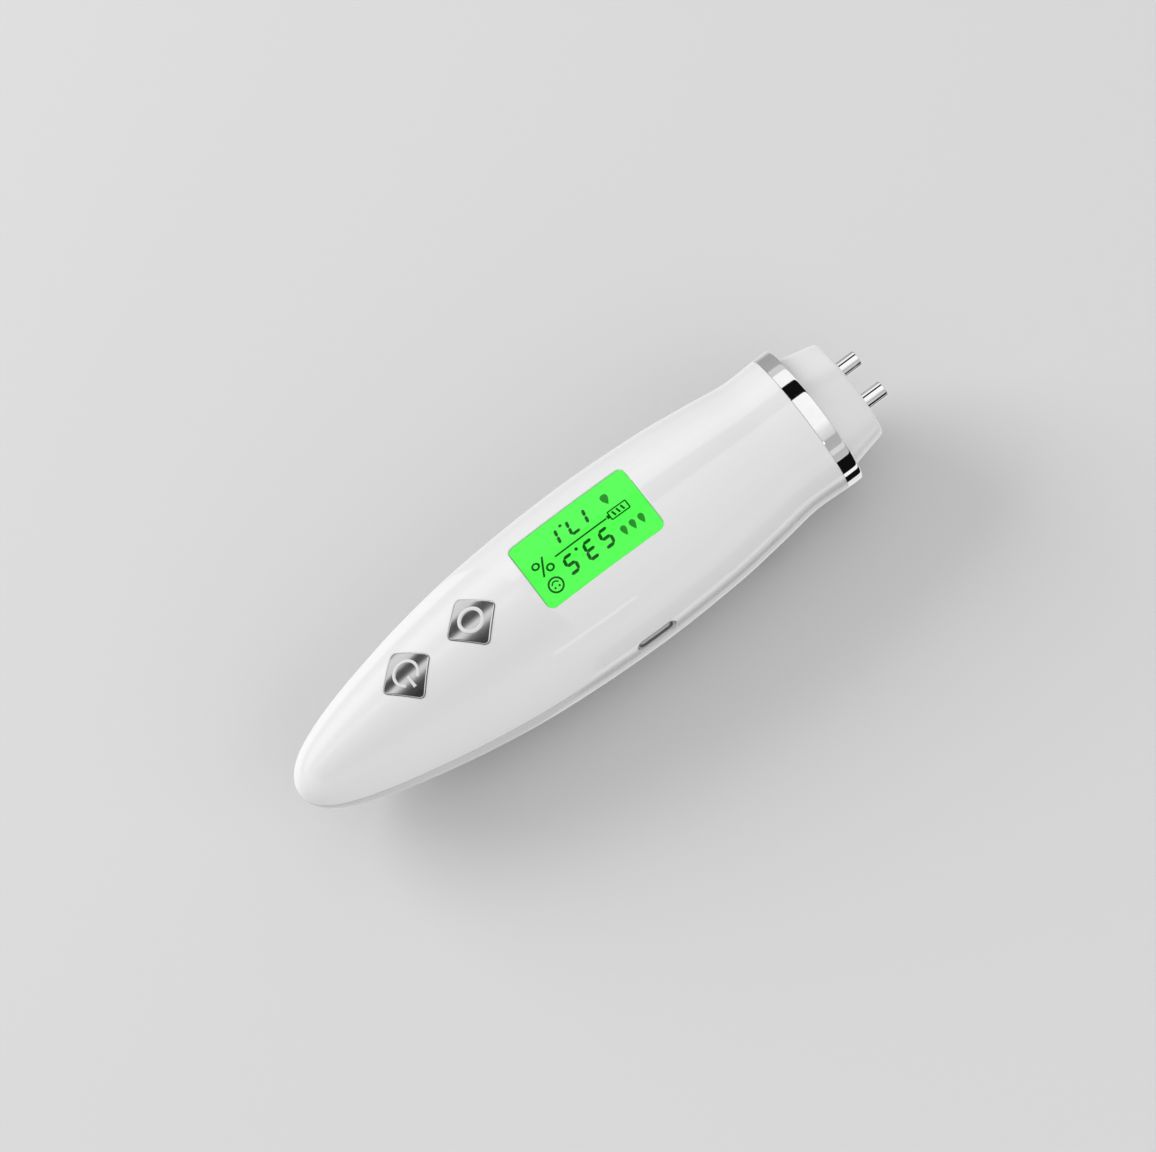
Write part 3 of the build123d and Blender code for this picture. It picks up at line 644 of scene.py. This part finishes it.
def make_head():
    """The nose: an oval taper with two holes for the electrodes."""
    count = 144
    weld = Weld()
    root_s = RING_END - HEAD_ROOT
    outer = [(root_s, *HEAD_NECK), (RING_END - 0.05, *HEAD_NECK), (RING_END + 0.02, *HEAD_BASE)]
    for part in np.linspace(0.15, 0.9, 6):
        size = [HEAD_BASE[i] + (HEAD_FACE[i] - HEAD_BASE[i]) * part for i in (0, 1)]
        outer.append((RING_END + (HEAD_END - RING_END) * part, *size))
    lean = [HEAD_FACE[i] + 0.12 for i in (0, 1)]
    for s, grow in rounded_end(HEAD_END, 0.0, HEAD_ROLL, 8):
        taper = HEAD_TAPER * (s - HEAD_END + HEAD_ROLL)
        outer.append((s, lean[0] + grow - taper, lean[1] + grow - taper))
    rows = [weld.add(section(s, a, b, count)) for s, a, b in outer]
    for first, second in zip(rows, rows[1:]):
        weld.strip(first, second)
    face_s, face_a, face_b = outer[-1]
    holes = [circle((y, 0.0), PIN_RADIUS + 0.1, 64) for y in pin_places()]
    rims = [circle((y, 0.0), PIN_RADIUS + 0.25, 64) for y in pin_places()]
    rim = section(0, face_a, face_b, count)[:, 1:]
    back_s = HEAD_END - HEAD_FRONT_WALL
    back = section(0, face_a - HEAD_WALL, face_b - HEAD_WALL, count)[:, 1:]
    weld.flat([rim] + rims, at_station(face_s))
    weld.flat([back] + holes, at_station(back_s), flip=True)
    for hole, wide in zip(holes, rims):
        front = weld.add(at_station(face_s)(wide))
        lip = weld.add(at_station(face_s - 0.15)(hole))
        deep = weld.add(at_station(back_s)(hole))
        weld.strip(lip, front)
        weld.strip(deep, lip)
    within = [
        (back_s, face_a - HEAD_WALL, face_b - HEAD_WALL),
        (root_s, HEAD_NECK[0] - HEAD_ROOT_WALL, HEAD_NECK[1] - HEAD_ROOT_WALL),
    ]
    rows_in = [weld.add(section(s, a, b, count)) for s, a, b in within]
    weld.strip(rows_in[0], rows_in[1])
    weld.strip(rows_in[1], rows[0])
    finish_piece(weld.build("nose"), HEAD_WHITE, node="probe_head")


def pin_places():
    return [middle(span("electrode_left")[1]), middle(span("electrode_right")[1])]


def make_pins():
    for side, y in zip(("left", "right"), pin_places()):
        node = "electrode_" + side
        low, high = span(node)[0]
        wide = (span(node)[1][1] - span(node)[1][0]) / 2
        front = HEAD_END - HEAD_FRONT_WALL - FLANGE_GAP
        back = front - FLANGE_THICKNESS
        rows = [(low, STEM_RADIUS), (back, STEM_RADIUS), (back, wide), (front, wide), (front, PIN_RADIUS)]
        rows += [(s, PIN_RADIUS + grow) for s, grow in rounded_end(high, 0.0, 0.28)]
        rows += [(high, 1.0), (high, 0.5)]
        pin = turned("pin_" + side, [(s, r, r) for s, r in rows], count=72, centre=(y, 0.0))
        finish_piece(pin, PIN_METAL, node + "_body", node)


def make_springs():
    """The coil springs behind the electrodes, built to the length of their CAD node, each on a mesh of its
    own.
    """
    for side, y in zip(("left", "right"), pin_places()):
        node = "electrode_spring_" + side
        low, high = span(node)[0]
        coil = (span(node)[1][1] - span(node)[1][0]) / 2 - SPRING_WIRE
        turns = (high - low - 2 * SPRING_WIRE) / SPRING_PITCH
        around = np.arange(SPRING_SIDES) * 2 * math.pi / SPRING_SIDES
        weld, rows = Weld(), []
        for part in np.linspace(0, 1, int(turns * SPRING_STEPS) + 1):
            turn = 2 * math.pi * turns * part
            reach = coil + SPRING_WIRE * np.cos(around)
            s = low + SPRING_WIRE + part * turns * SPRING_PITCH + SPRING_WIRE * np.sin(around)
            rows.append(weld.add(np.column_stack([s, y + reach * math.cos(turn), reach * math.sin(turn)])))
        for first, second in zip(rows, rows[1:]):
            weld.strip(second, first)
        weld.face(rows[0])
        weld.face(rows[-1][::-1])
        spring = weld.build("spring_" + side, even=False)
        finish_piece(spring, SPRING_STEEL, node=node)
        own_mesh(spring)


# ------------------------------------ buttons


def ribbon(weld, path, width, low, high, closed=True):
    """A raised line along a path in (s, y), following the casing between two growths."""
    path = np.asarray(path, float)
    ahead = (np.roll(path, -1, 0) - np.roll(path, 1, 0)) if closed else np.gradient(path, axis=0)
    side = np.column_stack([ahead[:, 1], -ahead[:, 0]])
    side /= np.linalg.norm(side, axis=1)[:, None]
    half, soft = width / 2, min(0.1, width / 4)
    chamfer = (-half + soft * 0.3, high - soft * 0.3)
    shape = [(-half, low), (-half, high - soft), chamfer, (-half + soft, high)]
    shape += [(-x, h) for x, h in shape[::-1]]
    rows = []
    for across, grow in shape:
        flat = path + side * across
        rows.append(weld.add(on_casing(flat[:, 0], flat[:, 1], grow)))
    for first, second in zip(rows, rows[1:] + rows[:1]):
        weld.strip(second, first, closed)
    if not closed:
        weld.face([r[0] for r in rows])
        weld.face([r[-1] for r in rows][::-1])


def arc(centre, radius, start, end, step=4.0):
    """Points along an arc in (s, y), angles in degrees from +s towards +y."""
    count = max(int(abs(end - start) / step), 4)
    t = np.radians(np.linspace(start, end, count + 1))
    return np.column_stack([centre[0] + radius * np.cos(t), centre[1] + radius * np.sin(t)])


def make_buttons():
    for kind in ("power", "mode"):
        node = kind + "_button"
        place = middle(span(node)[0])
        cap = slab(kind + "_cap", diamond(place, -0.02), CAP_RISE, at_height(CAP_BOTTOM), CAP_ROLL)
        finish_piece(cap, CAP_METAL, node + "_body", node)
        weld = Weld()
        low, high = CAP_RISE + 0.02, CAP_RISE + 0.26
        if kind == "power":
            ribbon(weld, arc((place, 0), 2.6, -90 + 34, 270 - 34), 0.6, low, high, closed=False)
            bar = np.column_stack([np.full(9, place), np.linspace(-0.9, -3.5, 9)])
            ribbon(weld, bar, 0.65, low, high, closed=False)
        else:
            ribbon(weld, arc((place, 0), 2.45, 0, 356, 4.0), 0.75, low, high)
        icon = weld.build(kind + "_icon")
        finish_piece(icon, ICON, node + "_body")


# ------------------------------------ display picture

PICTURE_LOW = -0.5
PICTURE_HIGH = -0.45
SLANT = 0.145


def dense(outline, step=0.3):
    """An outline again, counter-clockwise, with no side longer than step."""
    outline = np.asarray(outline, float)
    ahead = np.roll(outline, -1, 0)
    if (outline[:, 0] * ahead[:, 1] - ahead[:, 0] * outline[:, 1]).sum() < 0:
        outline = outline[::-1]
        ahead = np.roll(outline, -1, 0)
    full = []
    for p, q in zip(outline, ahead):
        parts = max(int(math.ceil(np.linalg.norm(q - p) / step)), 1)
        full += [p + (q - p) * k / parts for k in range(parts)]
    return np.array(full)


def marks(weld, outlines):
    """Flat shapes on the display, from outlines in (s, y)."""
    for outline in outlines:
        weld.plate(dense(outline), at_grow(PICTURE_LOW), at_grow(PICTURE_HIGH))


def line(weld, path, width, closed=False):
    """A line of even width on the display."""
    ribbon(weld, path, width, PICTURE_LOW, PICTURE_HIGH, closed)


def straight(start, end, step=0.3):
    count = max(int(math.dist(start, end) / step), 2) + 1
    return np.column_stack([np.linspace(start[i], end[i], count) for i in (0, 1)])


SEGMENTS = {"1": "bc", "3": "abgcd", "5": "afgcd", "7": "abc"}
DIGIT_WIDTH = 1.95
DIGIT_HEIGHT = 3.6
DIGIT_STROKE = 0.66


def digit(centre, figure):
    """Outlines of a seven-segment digit, read from the port side: right is -s and up is -y."""
    w, h = DIGIT_WIDTH / 2, DIGIT_HEIGHT / 2
    ends = {
        "a": ((-w, h), (w, h)),
        "b": ((w, h), (w, 0)),
        "c": ((w, 0), (w, -h)),
        "d": ((-w, -h), (w, -h)),
        "f": ((-w, h), (-w, 0)),
        "g": ((-w, 0), (w, 0)),
    }
    found = []
    for key in SEGMENTS[figure]:
        p, q = (np.array(e, float) for e in ends[key])
        way = (q - p) / np.linalg.norm(q - p)
        side = np.array([-way[1], way[0]]) * DIGIT_STROKE / 2
        p, q = p + way * 0.03, q - way * 0.03
        tip = way * DIGIT_STROKE / 2
        local = [p, p + tip - side, q - tip - side, q, q - tip + side, p + tip + side]
        if figure == "1":
            local = [spot - np.array([w, 0]) for spot in local]
        found.append([(centre[0] - x - SLANT * y, centre[1] - y) for x, y in local])
    return found


def droplet(centre, size):
    """A drop's outline; its tip points up for the reader."""
    t = np.linspace(0, 2 * math.pi, 29)[:-1]
    x = size * 0.8 * np.sin(t) * np.abs(np.sin(t / 2)) ** 1.4
    y = size * np.cos(t)
    return np.column_stack([centre[0] - x, centre[1] - y])


def square(s0, s1, y0, y1):
    return [(s0, y0), (s1, y0), (s1, y1), (s0, y1)]


def make_picture():
    weld = Weld()
    for s, figure in ((78.3, "1"), (75.3, "7"), (71.5, "1")):
        marks(weld, digit((s, 3.47), figure))
    for s, figure in ((79.0, "5"), (75.2, "3"), (70.4, "5")):
        marks(weld, digit((s, -3.35), figure))
    marks(weld, [square(68.7, 81.3, -0.17, 0.17)])
    marks(weld, [circle(spot, 0.36, 16) for spot in ((73.2, 5.3), (72.9, -1.45))])
    line(weld, straight((66.6, 1.87), (64.6, -2.15)), 0.42)
    for spot in ((64.45, 0.85), (66.75, -1.2)):
        line(weld, arc(spot, 0.7, 0, 350, 10), 0.42, True)
    face = np.array((65.55, -4.87))
    line(weld, arc(face, 1.5, 0, 354, 6), 0.4, True)
    line(weld, arc(face + (0, -0.05), 0.8, 20, 160), 0.3)
    marks(weld, [circle(face + (x, -0.5), 0.23, 12) for x in (-0.5, 0.5)])
    line(weld, rounded_polygon(square(82.1, 86.4, -1.0, 1.0), 0.2, 0.3), 0.3, True)
    for i in range(3):
        line(weld, straight((83.25 + 1.05 * i, -0.6), (82.95 + 1.05 * i, 0.6)), 0.42)
    marks(weld, [square(81.45, 81.95, -0.42, 0.42)])
    finish_piece(weld.build("display_figures", even=False), SEGMENT)
    weld = Weld()
    marks(weld, [droplet((83.4, 3.85), 1.45)] + [droplet((82.7 + 2.1 * i, -4.4), 1.15) for i in range(3)])
    finish_piece(weld.build("display_marks", even=False), LABEL)


# ------------------------------------ charging socket


def make_socket():
    """The charging socket's stamped sleeve, with softened edges at its mouth."""
    weld = Weld()
    mouth, back = PORT[1]
    outer, inner = slot_outline(0.0), slot_outline(-0.3)

    def at(y):
        return lambda p: np.column_stack([p[:, 0], np.full(len(p), y), p[:, 1]])

    edge = 0.07
    soft_out, soft_in = slot_outline(-edge), slot_outline(-0.3 + edge)
    loops = (
        (outer, back),
        (outer, mouth + edge),
        (soft_out, mouth),
        (soft_in, mouth),
        (inner, mouth + edge),
        (inner, back - 0.3),
    )
    rows = [weld.add(at(y)(resample(loop, len(outer)))) for loop, y in loops]
    for first, second in zip(rows, rows[1:]):
        weld.strip(first, second)
    weld.face(rows[0])
    weld.face(rows[-1][::-1])
    finish_piece(weld.build("socket_sleeve"), STEEL, node="usb_socket_shell")


def resample(loop, count):
    """A closed loop again, with count points evenly along it from its first point."""
    closed = np.vstack([loop, loop[:1]])
    along = np.concatenate([[0], np.cumsum(np.linalg.norm(np.diff(closed, axis=0), axis=1))])
    at = np.arange(count) * along[-1] / count
    return np.column_stack([np.interp(at, along, closed[:, i]) for i in (0, 1)])


# ------------------------------------ looks


def material(name):
    made = bpy.data.materials.new(name)
    made.use_nodes = True
    tree = made.node_tree
    return made, tree, tree.nodes["Principled BSDF"]


def noise(tree, scale, detail=3.0, stretch=None):
    """Noise over the piece's own coordinates, in metres, stretched along an axis or not."""
    place = tree.nodes.new("ShaderNodeTexCoord").outputs["Object"]
    if stretch:
        mapping = tree.nodes.new("ShaderNodeMapping")
        mapping.inputs["Scale"].default_value = stretch
        tree.links.new(place, mapping.inputs["Vector"])
        place = mapping.outputs["Vector"]
    node = tree.nodes.new("ShaderNodeTexNoise")
    node.inputs["Scale"].default_value = scale
    node.inputs["Detail"].default_value = detail
    tree.links.new(place, node.inputs["Vector"])
    return node


def spread(tree, source, low, high, start=0.25, end=0.75):
    """Maps values between start and end smoothly onto a range."""
    node = tree.nodes.new("ShaderNodeMapRange")
    node.interpolation_type = "SMOOTHSTEP"
    node.inputs["From Min"].default_value = start
    node.inputs["From Max"].default_value = end
    node.inputs["To Min"].default_value = low
    node.inputs["To Max"].default_value = high
    tree.links.new(source, node.inputs["Value"])
    return node.outputs["Result"]


def blend_colours(tree, source, first, second):
    node = tree.nodes.new("ShaderNodeMix")
    node.data_type = "RGBA"
    node.inputs["A"].default_value = (*first, 1)
    node.inputs["B"].default_value = (*second, 1)
    tree.links.new(source, node.inputs["Factor"])
    return node.outputs["Result"]


def vary(tree, shader, source, colours, rough):
    """Lets one noise vary both the colour and the gloss."""
    tree.links.new(blend_colours(tree, source, *colours), shader.inputs["Base Color"])
    tree.links.new(spread(tree, source, *rough), shader.inputs["Roughness"])


def bump(tree, shader, height, strength, distance):
    node = tree.nodes.new("ShaderNodeBump")
    node.inputs["Strength"].default_value = strength
    node.inputs["Distance"].default_value = distance
    tree.links.new(height, node.inputs["Height"])
    tree.links.new(node.outputs["Normal"], shader.inputs["Normal"])


def plastic(name, first, second, rough, coat=0.0, grain=900.0, bump_strength=0.05):
    """Moulded plastic: faint colour drift, uneven gloss and a fine skin."""
    made, tree, shader = material(name)
    drift = noise(tree, 35.0, 1.0)
    fine = noise(tree, grain, 2.0)
    vary(tree, shader, drift.outputs["Fac"], (first, second), rough)
    shader.inputs["Coat Weight"].default_value = coat
    shader.inputs["Coat Roughness"].default_value = 0.04
    bump(tree, shader, fine.outputs["Fac"], bump_strength, 0.00004)
    return made


def metal(name, colour, rough, grain=(1.0, 1.0, 1.0), bump_strength=0.02, scale=700.0):
    """Metal with uneven polish; grain stretches its noise along an axis."""
    made, tree, shader = material(name)
    lines = noise(tree, scale, stretch=grain)
    shader.inputs["Metallic"].default_value = 1.0
    dark = tuple(c * 0.93 for c in colour)
    vary(tree, shader, lines.outputs["Fac"], (dark, colour), rough)
    bump(tree, shader, lines.outputs["Fac"], bump_strength, 0.00002)
    return made


def lens_material():
    made, tree, shader = material("clear_lens")
    shader.inputs["Base Color"].default_value = (0.97, 1.0, 0.97, 1)
    shader.inputs["Transmission Weight"].default_value = 1.0
    shader.inputs["IOR"].default_value = 1.25
    haze = noise(tree, 300.0)
    tree.links.new(spread(tree, haze.outputs["Fac"], 0.0, 0.004), shader.inputs["Roughness"])
    return made


def lit_material(name, colour):
    """A backlit surface: an emitting colour that varies a little, with a fine diffuser grain."""
    made, tree, shader = material(name)
    cloud, grain = noise(tree, 90.0), noise(tree, 2500.0)
    dim = tuple(c * 0.96 for c in colour)
    shade = blend_colours(tree, cloud.outputs["Fac"], dim, colour)
    tree.links.new(shade, shader.inputs["Emission Color"])
    shader.inputs["Emission Strength"].default_value = 1.0
    shader.inputs["Base Color"].default_value = (*(c * 0.05 for c in colour), 1)
    shader.inputs["Specular IOR Level"].default_value = 0.0
    tree.links.new(spread(tree, cloud.outputs["Fac"], 0.6, 0.7), shader.inputs["Roughness"])
    bump(tree, shader, grain.outputs["Fac"], 0.1, 0.00002)
    return made


WHITE = plastic("white_casing", (0.80, 0.80, 0.80), (0.812, 0.812, 0.81), (0.28, 0.31), coat=1.0)
# The rear half's darker grey is partly a two-tone grey plastic and partly painted shade, standing in for the
# shade along the pen's downward-facing side.
GREY_AND_SHADE = plastic("grey_casing_and_painted_shade", (0.60, 0.60, 0.60), (0.612, 0.612, 0.61), (0.28, 0.31), coat=0.6)
HEAD_WHITE = plastic("white_nose", (0.77, 0.77, 0.77), (0.785, 0.785, 0.785), (0.28, 0.31), coat=0.3)
CHROME = metal("chrome", (0.86, 0.86, 0.86), (0.02, 0.05), bump_strength=0.01)
CAP_METAL = metal("cap_metal", (0.86, 0.86, 0.86), (0.09, 0.13), bump_strength=0.01)
PIN_METAL = metal("pin_metal", (0.88, 0.88, 0.88), (0.02, 0.05), grain=(0.2, 1, 1))
ICON = plastic("icon_enamel", (0.70, 0.70, 0.70), (0.76, 0.76, 0.76), (0.2, 0.3), coat=0.5, grain=1500.0)
LENS = lens_material()
DISPLAY_GREEN = lit_material("display_green", (0.09, 1.0, 0.09))
SEGMENT = lit_material("segment_dark", (0.0, 0.085, 0.002))
LABEL = lit_material("segment_light", (0.004, 0.26, 0.008))
SPRING_STEEL = metal("spring_steel", (0.55, 0.54, 0.52), (0.15, 0.3))
STEEL = metal("stamped_steel", (0.74, 0.74, 0.74), (0.4, 0.5), grain=(0.3, 1, 1))


# ------------------------------------ inner parts' looks


def board_look():
    """Green board: square-cornered copper tracks under the lacquer."""
    made, tree, shader = material("green_board")
    coords = tree.nodes.new("ShaderNodeTexCoord")
    tracks = tree.nodes.new("ShaderNodeTexVoronoi")
    tracks.distance = "MANHATTAN"
    tracks.feature = "DISTANCE_TO_EDGE"
    tracks.inputs["Scale"].default_value = 320.0
    tree.links.new(coords.outputs["Object"], tracks.inputs["Vector"])
    copper = spread(tree, tracks.outputs["Distance"], 1.0, 0.0, 0.02, 0.06)
    colour = blend_colours(tree, copper, (0.012, 0.11, 0.04), (0.03, 0.2, 0.07))
    tree.links.new(colour, shader.inputs["Base Color"])
    cloud = noise(tree, 400.0)
    tree.links.new(spread(tree, cloud.outputs["Fac"], 0.3, 0.45), shader.inputs["Roughness"])
    bump(tree, shader, copper, 0.15, 0.00004)
    return made


def inner_looks():
    """The finishes of the nodes that keep their own mesh."""
    board = board_look()
    white = plastic("inner_white", (0.72, 0.72, 0.7), (0.78, 0.78, 0.76), (0.45, 0.6))
    black = plastic("inner_black", (0.012, 0.012, 0.013), (0.02, 0.02, 0.021), (0.4, 0.55))
    rubber = plastic("contact_rubber", (0.16, 0.13, 0.12), (0.22, 0.18, 0.17), (0.6, 0.75), grain=500.0)
    foam_colours = ((0.10, 0.10, 0.11), (0.17, 0.17, 0.18))
    foam = plastic("grey_foam", *foam_colours, (0.8, 0.95), grain=1800.0, bump_strength=0.6)
    foil = metal("cell_foil", (0.62, 0.63, 0.65), (0.25, 0.42), bump_strength=0.1, scale=260.0)
    steel = metal("screw_steel", (0.6, 0.6, 0.61), (0.18, 0.3))
    solder = metal("part_metal", (0.5, 0.5, 0.48), (0.3, 0.5), scale=1500.0)
    red = plastic("lead_red", (0.42, 0.01, 0.01), (0.52, 0.02, 0.015), (0.35, 0.5))
    lead_black = plastic("lead_black", (0.01, 0.01, 0.01), (0.02, 0.02, 0.02), (0.35, 0.5))
    glass = plastic("display_glass", (0.05, 0.16, 0.06), (0.06, 0.2, 0.08), (0.08, 0.14), coat=0.6)
    diffuser = plastic("backlight_diffuser", (0.55, 0.75, 0.5), (0.62, 0.8, 0.56), (0.4, 0.5))
    lamp = plastic("lamp_lens", (0.75, 0.7, 0.35), (0.8, 0.74, 0.4), (0.2, 0.3), coat=0.4)
    return (
        (glass, ("lcd_front_glass", "lcd_rear_glass")),
        (diffuser, ("backlight_panel",)),
        (lamp, ("backlight_lamps",)),
        (white, ("lcd_frame", "battery_connector")),
        (rubber, ("lcd_contact_strip",)),
        (board, ("main_board", "charge_board", "probe_board")),
        (solder, ("main_board_parts", "charge_board_parts")),
        (black, ("controller_chip", "power_switch_plunger", "mode_switch_plunger", "usb_socket_tongue")),
        (steel, ("main_board_screws", "charge_board_screws", "probe_board_screws", "case_screws")),
        (steel, ("power_switch_body", "mode_switch_body")),
        (foil, ("battery_cell",)),
        (foam, ("battery_pad",)),
        (red, ("battery_lead_red", "probe_lead_left")),
        (lead_black, ("battery_lead_black", "link_leads", "probe_lead_right")),
    )


def dress_inner_parts():
    for look, nodes in inner_looks():
        for node in nodes:
            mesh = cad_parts[node].data
            mesh.materials.clear()
            mesh.materials.append(look)


# ------------------------------------ studio

CENTRE = Vector((TAIL + 71 * MM, 0, PARTING))
VIEW_TILT = 30.0  # from straight above towards -Y, in degrees
VIEW_ROLL = 36.5  # of the picture, so that the pen lies aslant
VIEW_SWING = 2.0  # towards the tail
VIEW_WIDTH = 0.2312  # at the pen, in metres, like the shift to the right and up
VIEW_SHIFT = (-0.0016, 0.0014)
LENS_LENGTH = 120
SENSOR_WIDTH = 36


def staged(made, look):
    made.data.materials.append(look)
    return made


def plain_mesh(name, points, faces):
    mesh = bpy.data.meshes.new(name)
    mesh.from_pydata([tuple(p) for p in points], [], faces)
    made = bpy.data.objects.new(name, mesh)
    bpy.context.scene.collection.objects.link(made)
    return made


CARD_RADIUS = 0.8
CARD_SPLIT = -0.05
# Brightness of the reflection cards by angle round the pen, from straight up towards +Y.
NOSE_CARD = [
    (-212, 0.9), (-164.2, 0.95), (-163.8, 0.006), (-143.2, 0.006), (-142.8, 1.15), (-133.2, 1.15),
    (-132.8, 0.006), (-100.8, 0.006), (-100.2, 0.8), (-98.5, 0.62), (-86.5, 0.58), (-85.5, 0.8),
    (-77, 0.8), (-76, 0.52), (-62, 0.5), (-58.5, 0.5), (-57.5, 0.72),
    (-44, 0.9), (-34, 1.15), (12, 1.15), (13, 0.006), (34.5, 0.006), (35.5, 1.15), (56, 1.1),
    (59, 0.7), (68, 0.75), (72, 0.45), (108, 0.42), (122, 0.75), (148, 0.95),
]
TAIL_CARD = [
    (-212, 0.75), (-150, 0.6), (-100, 0.6), (-62, 0.7), (-59, 0.7), (-30, 0.06), (-3, 0.04),
    (8, 0.08), (14, 0.2), (20, 0.75), (25, 0.8), (28, 0.3), (31, 0.1), (38, 0.08), (42, 0.16),
    (46, 0.75), (64, 0.8), (70, 0.3), (76, 0.1), (86, 0.12), (92, 0.9), (148, 0.95),
]
STREAK_CARD = [(-63, 0.6), (-61, 2.2), (-59.5, 2.2), (-57.5, 0.72)]


def card_glow():
    """A light whose brightness is painted on the card, with a slow drift across it."""
    made = bpy.data.materials.new("card_glow")
    made.use_nodes = True
    tree = made.node_tree
    tree.nodes.clear()
    light = tree.nodes.new("ShaderNodeEmission")
    out = tree.nodes.new("ShaderNodeOutputMaterial")
    paint = tree.nodes.new("ShaderNodeAttribute")
    paint.attribute_name = "brightness"
    cloud = noise(tree, 1.5)
    times = tree.nodes.new("ShaderNodeMath")
    times.operation = "MULTIPLY"
    tree.links.new(spread(tree, cloud.outputs["Fac"], 0.94, 1.0), times.inputs[0])
    tree.links.new(paint.outputs["Fac"], times.inputs[1])
    tree.links.new(times.outputs["Value"], light.inputs["Strength"])
    tree.links.new(light.outputs["Emission"], out.inputs["Surface"])
    return made


def make_cards():
    """Curved cards round the pen's axis that only reflections see."""
    look = card_glow()
    cards = [
        ("nose", NOSE_CARD, CARD_SPLIT, 1.3, CARD_RADIUS),
        ("tail", TAIL_CARD, -1.3, CARD_SPLIT, CARD_RADIUS),
        ("streak", STREAK_CARD, -0.09, 0.035, CARD_RADIUS - 0.005),
    ]
    for name, profile, start, end, reach in cards:
        angles, levels = np.array(profile).T
        turns = np.unique(np.concatenate([angles, np.arange(angles[0], angles[-1], 2.0)]))
        points, values = [], []
        for turn in turns:
            y, z = reach * math.sin(math.radians(turn)), reach * math.cos(math.radians(turn))
            points += [(start, y, z + PARTING), (end, y, z + PARTING)]
            values += [float(np.interp(turn, angles, levels))] * 2
        faces = [(2 * k, 2 * k + 1, 2 * k + 3, 2 * k + 2) for k in range(len(turns) - 1)]
        card = staged(plain_mesh("card_" + name, points, faces), look)
        card.data.attributes.new("brightness", "FLOAT", "POINT").data.foreach_set("value", values)
        card.visible_camera = False
        card.visible_diffuse = False
        card.visible_shadow = False
        card.visible_transmission = False
        card.visible_volume_scatter = False


def make_camera():
    tilt, roll, swing = (math.radians(angle) for angle in (VIEW_TILT, VIEW_ROLL, VIEW_SWING))
    toward = Vector((-math.sin(swing), -math.cos(swing) * math.sin(tilt), math.cos(swing) * math.cos(tilt)))
    along = (Vector((1, 0, 0)) - toward * toward.x).normalized()
    across = toward.cross(along)
    right = along * math.cos(roll) - across * math.sin(roll)
    up = along * math.sin(roll) + across * math.cos(roll)
    camera = bpy.data.objects.new("camera", bpy.data.cameras.new("camera"))
    camera.data.lens = LENS_LENGTH
    camera.data.sensor_width = SENSOR_WIDTH
    camera.data.clip_end = 20
    distance = VIEW_WIDTH * LENS_LENGTH / SENSOR_WIDTH
    spot = CENTRE + toward * distance + right * VIEW_SHIFT[0] + up * VIEW_SHIFT[1]
    camera.matrix_world = Matrix.Translation(spot) @ Matrix((right, up, toward)).transposed().to_4x4()
    bpy.context.scene.collection.objects.link(camera)
    bpy.context.scene.camera = camera


def area_light(name, spot, size, power):
    """A rectangular light aimed at the pen, which reflections don't see."""
    light = bpy.data.lights.new(name, "AREA")
    light.shape = "RECTANGLE"
    light.size, light.size_y = size
    light.energy = power
    made = bpy.data.objects.new(name, light)
    made.location = spot
    made.rotation_euler = (CENTRE - Vector(spot)).to_track_quat("-Z", "Y").to_euler()
    made.visible_glossy = False
    bpy.context.scene.collection.objects.link(made)


def floor_look():
    made, tree, shader = material("pale_floor")
    cloud = noise(tree, 2.0)
    grain = noise(tree, 900.0)
    vary(tree, shader, cloud.outputs["Fac"], ((0.66, 0.66, 0.655), (0.68, 0.68, 0.675)), (0.8, 0.9))
    bump(tree, shader, grain.outputs["Fac"], 0.05, 0.0001)
    return made


def make_studio():
    bpy.context.scene.view_settings.view_transform = "Standard"
    make_camera()
    corners = [(-4, -4, 0), (4, -4, 0), (4, 4, 0), (-4, 4, 0)]
    floor = staged(plain_mesh("floor", corners, [(0, 1, 2, 3)]), floor_look())
    floor.visible_glossy = False
    make_cards()
    area_light("key", CENTRE + Vector((-0.75, 1.25, 0.7)), (1.2, 0.9), 18.0)
    area_light("fill", CENTRE + Vector((0.45, -1.3, 0.75)), (1.6, 1.0), 6.5)
    world = bpy.data.worlds.new("studio")
    bpy.context.scene.world = world
    world.use_nodes = True
    back = world.node_tree.nodes["Background"]
    back.inputs["Color"].default_value = (0.99, 0.99, 1.0, 1)
    back.inputs["Strength"].default_value = 0.66


make_casing()
make_display()
make_picture()
make_buttons()
make_ring()
make_head()
make_pins()
make_springs()
make_socket()
dress_inner_parts()
make_studio()
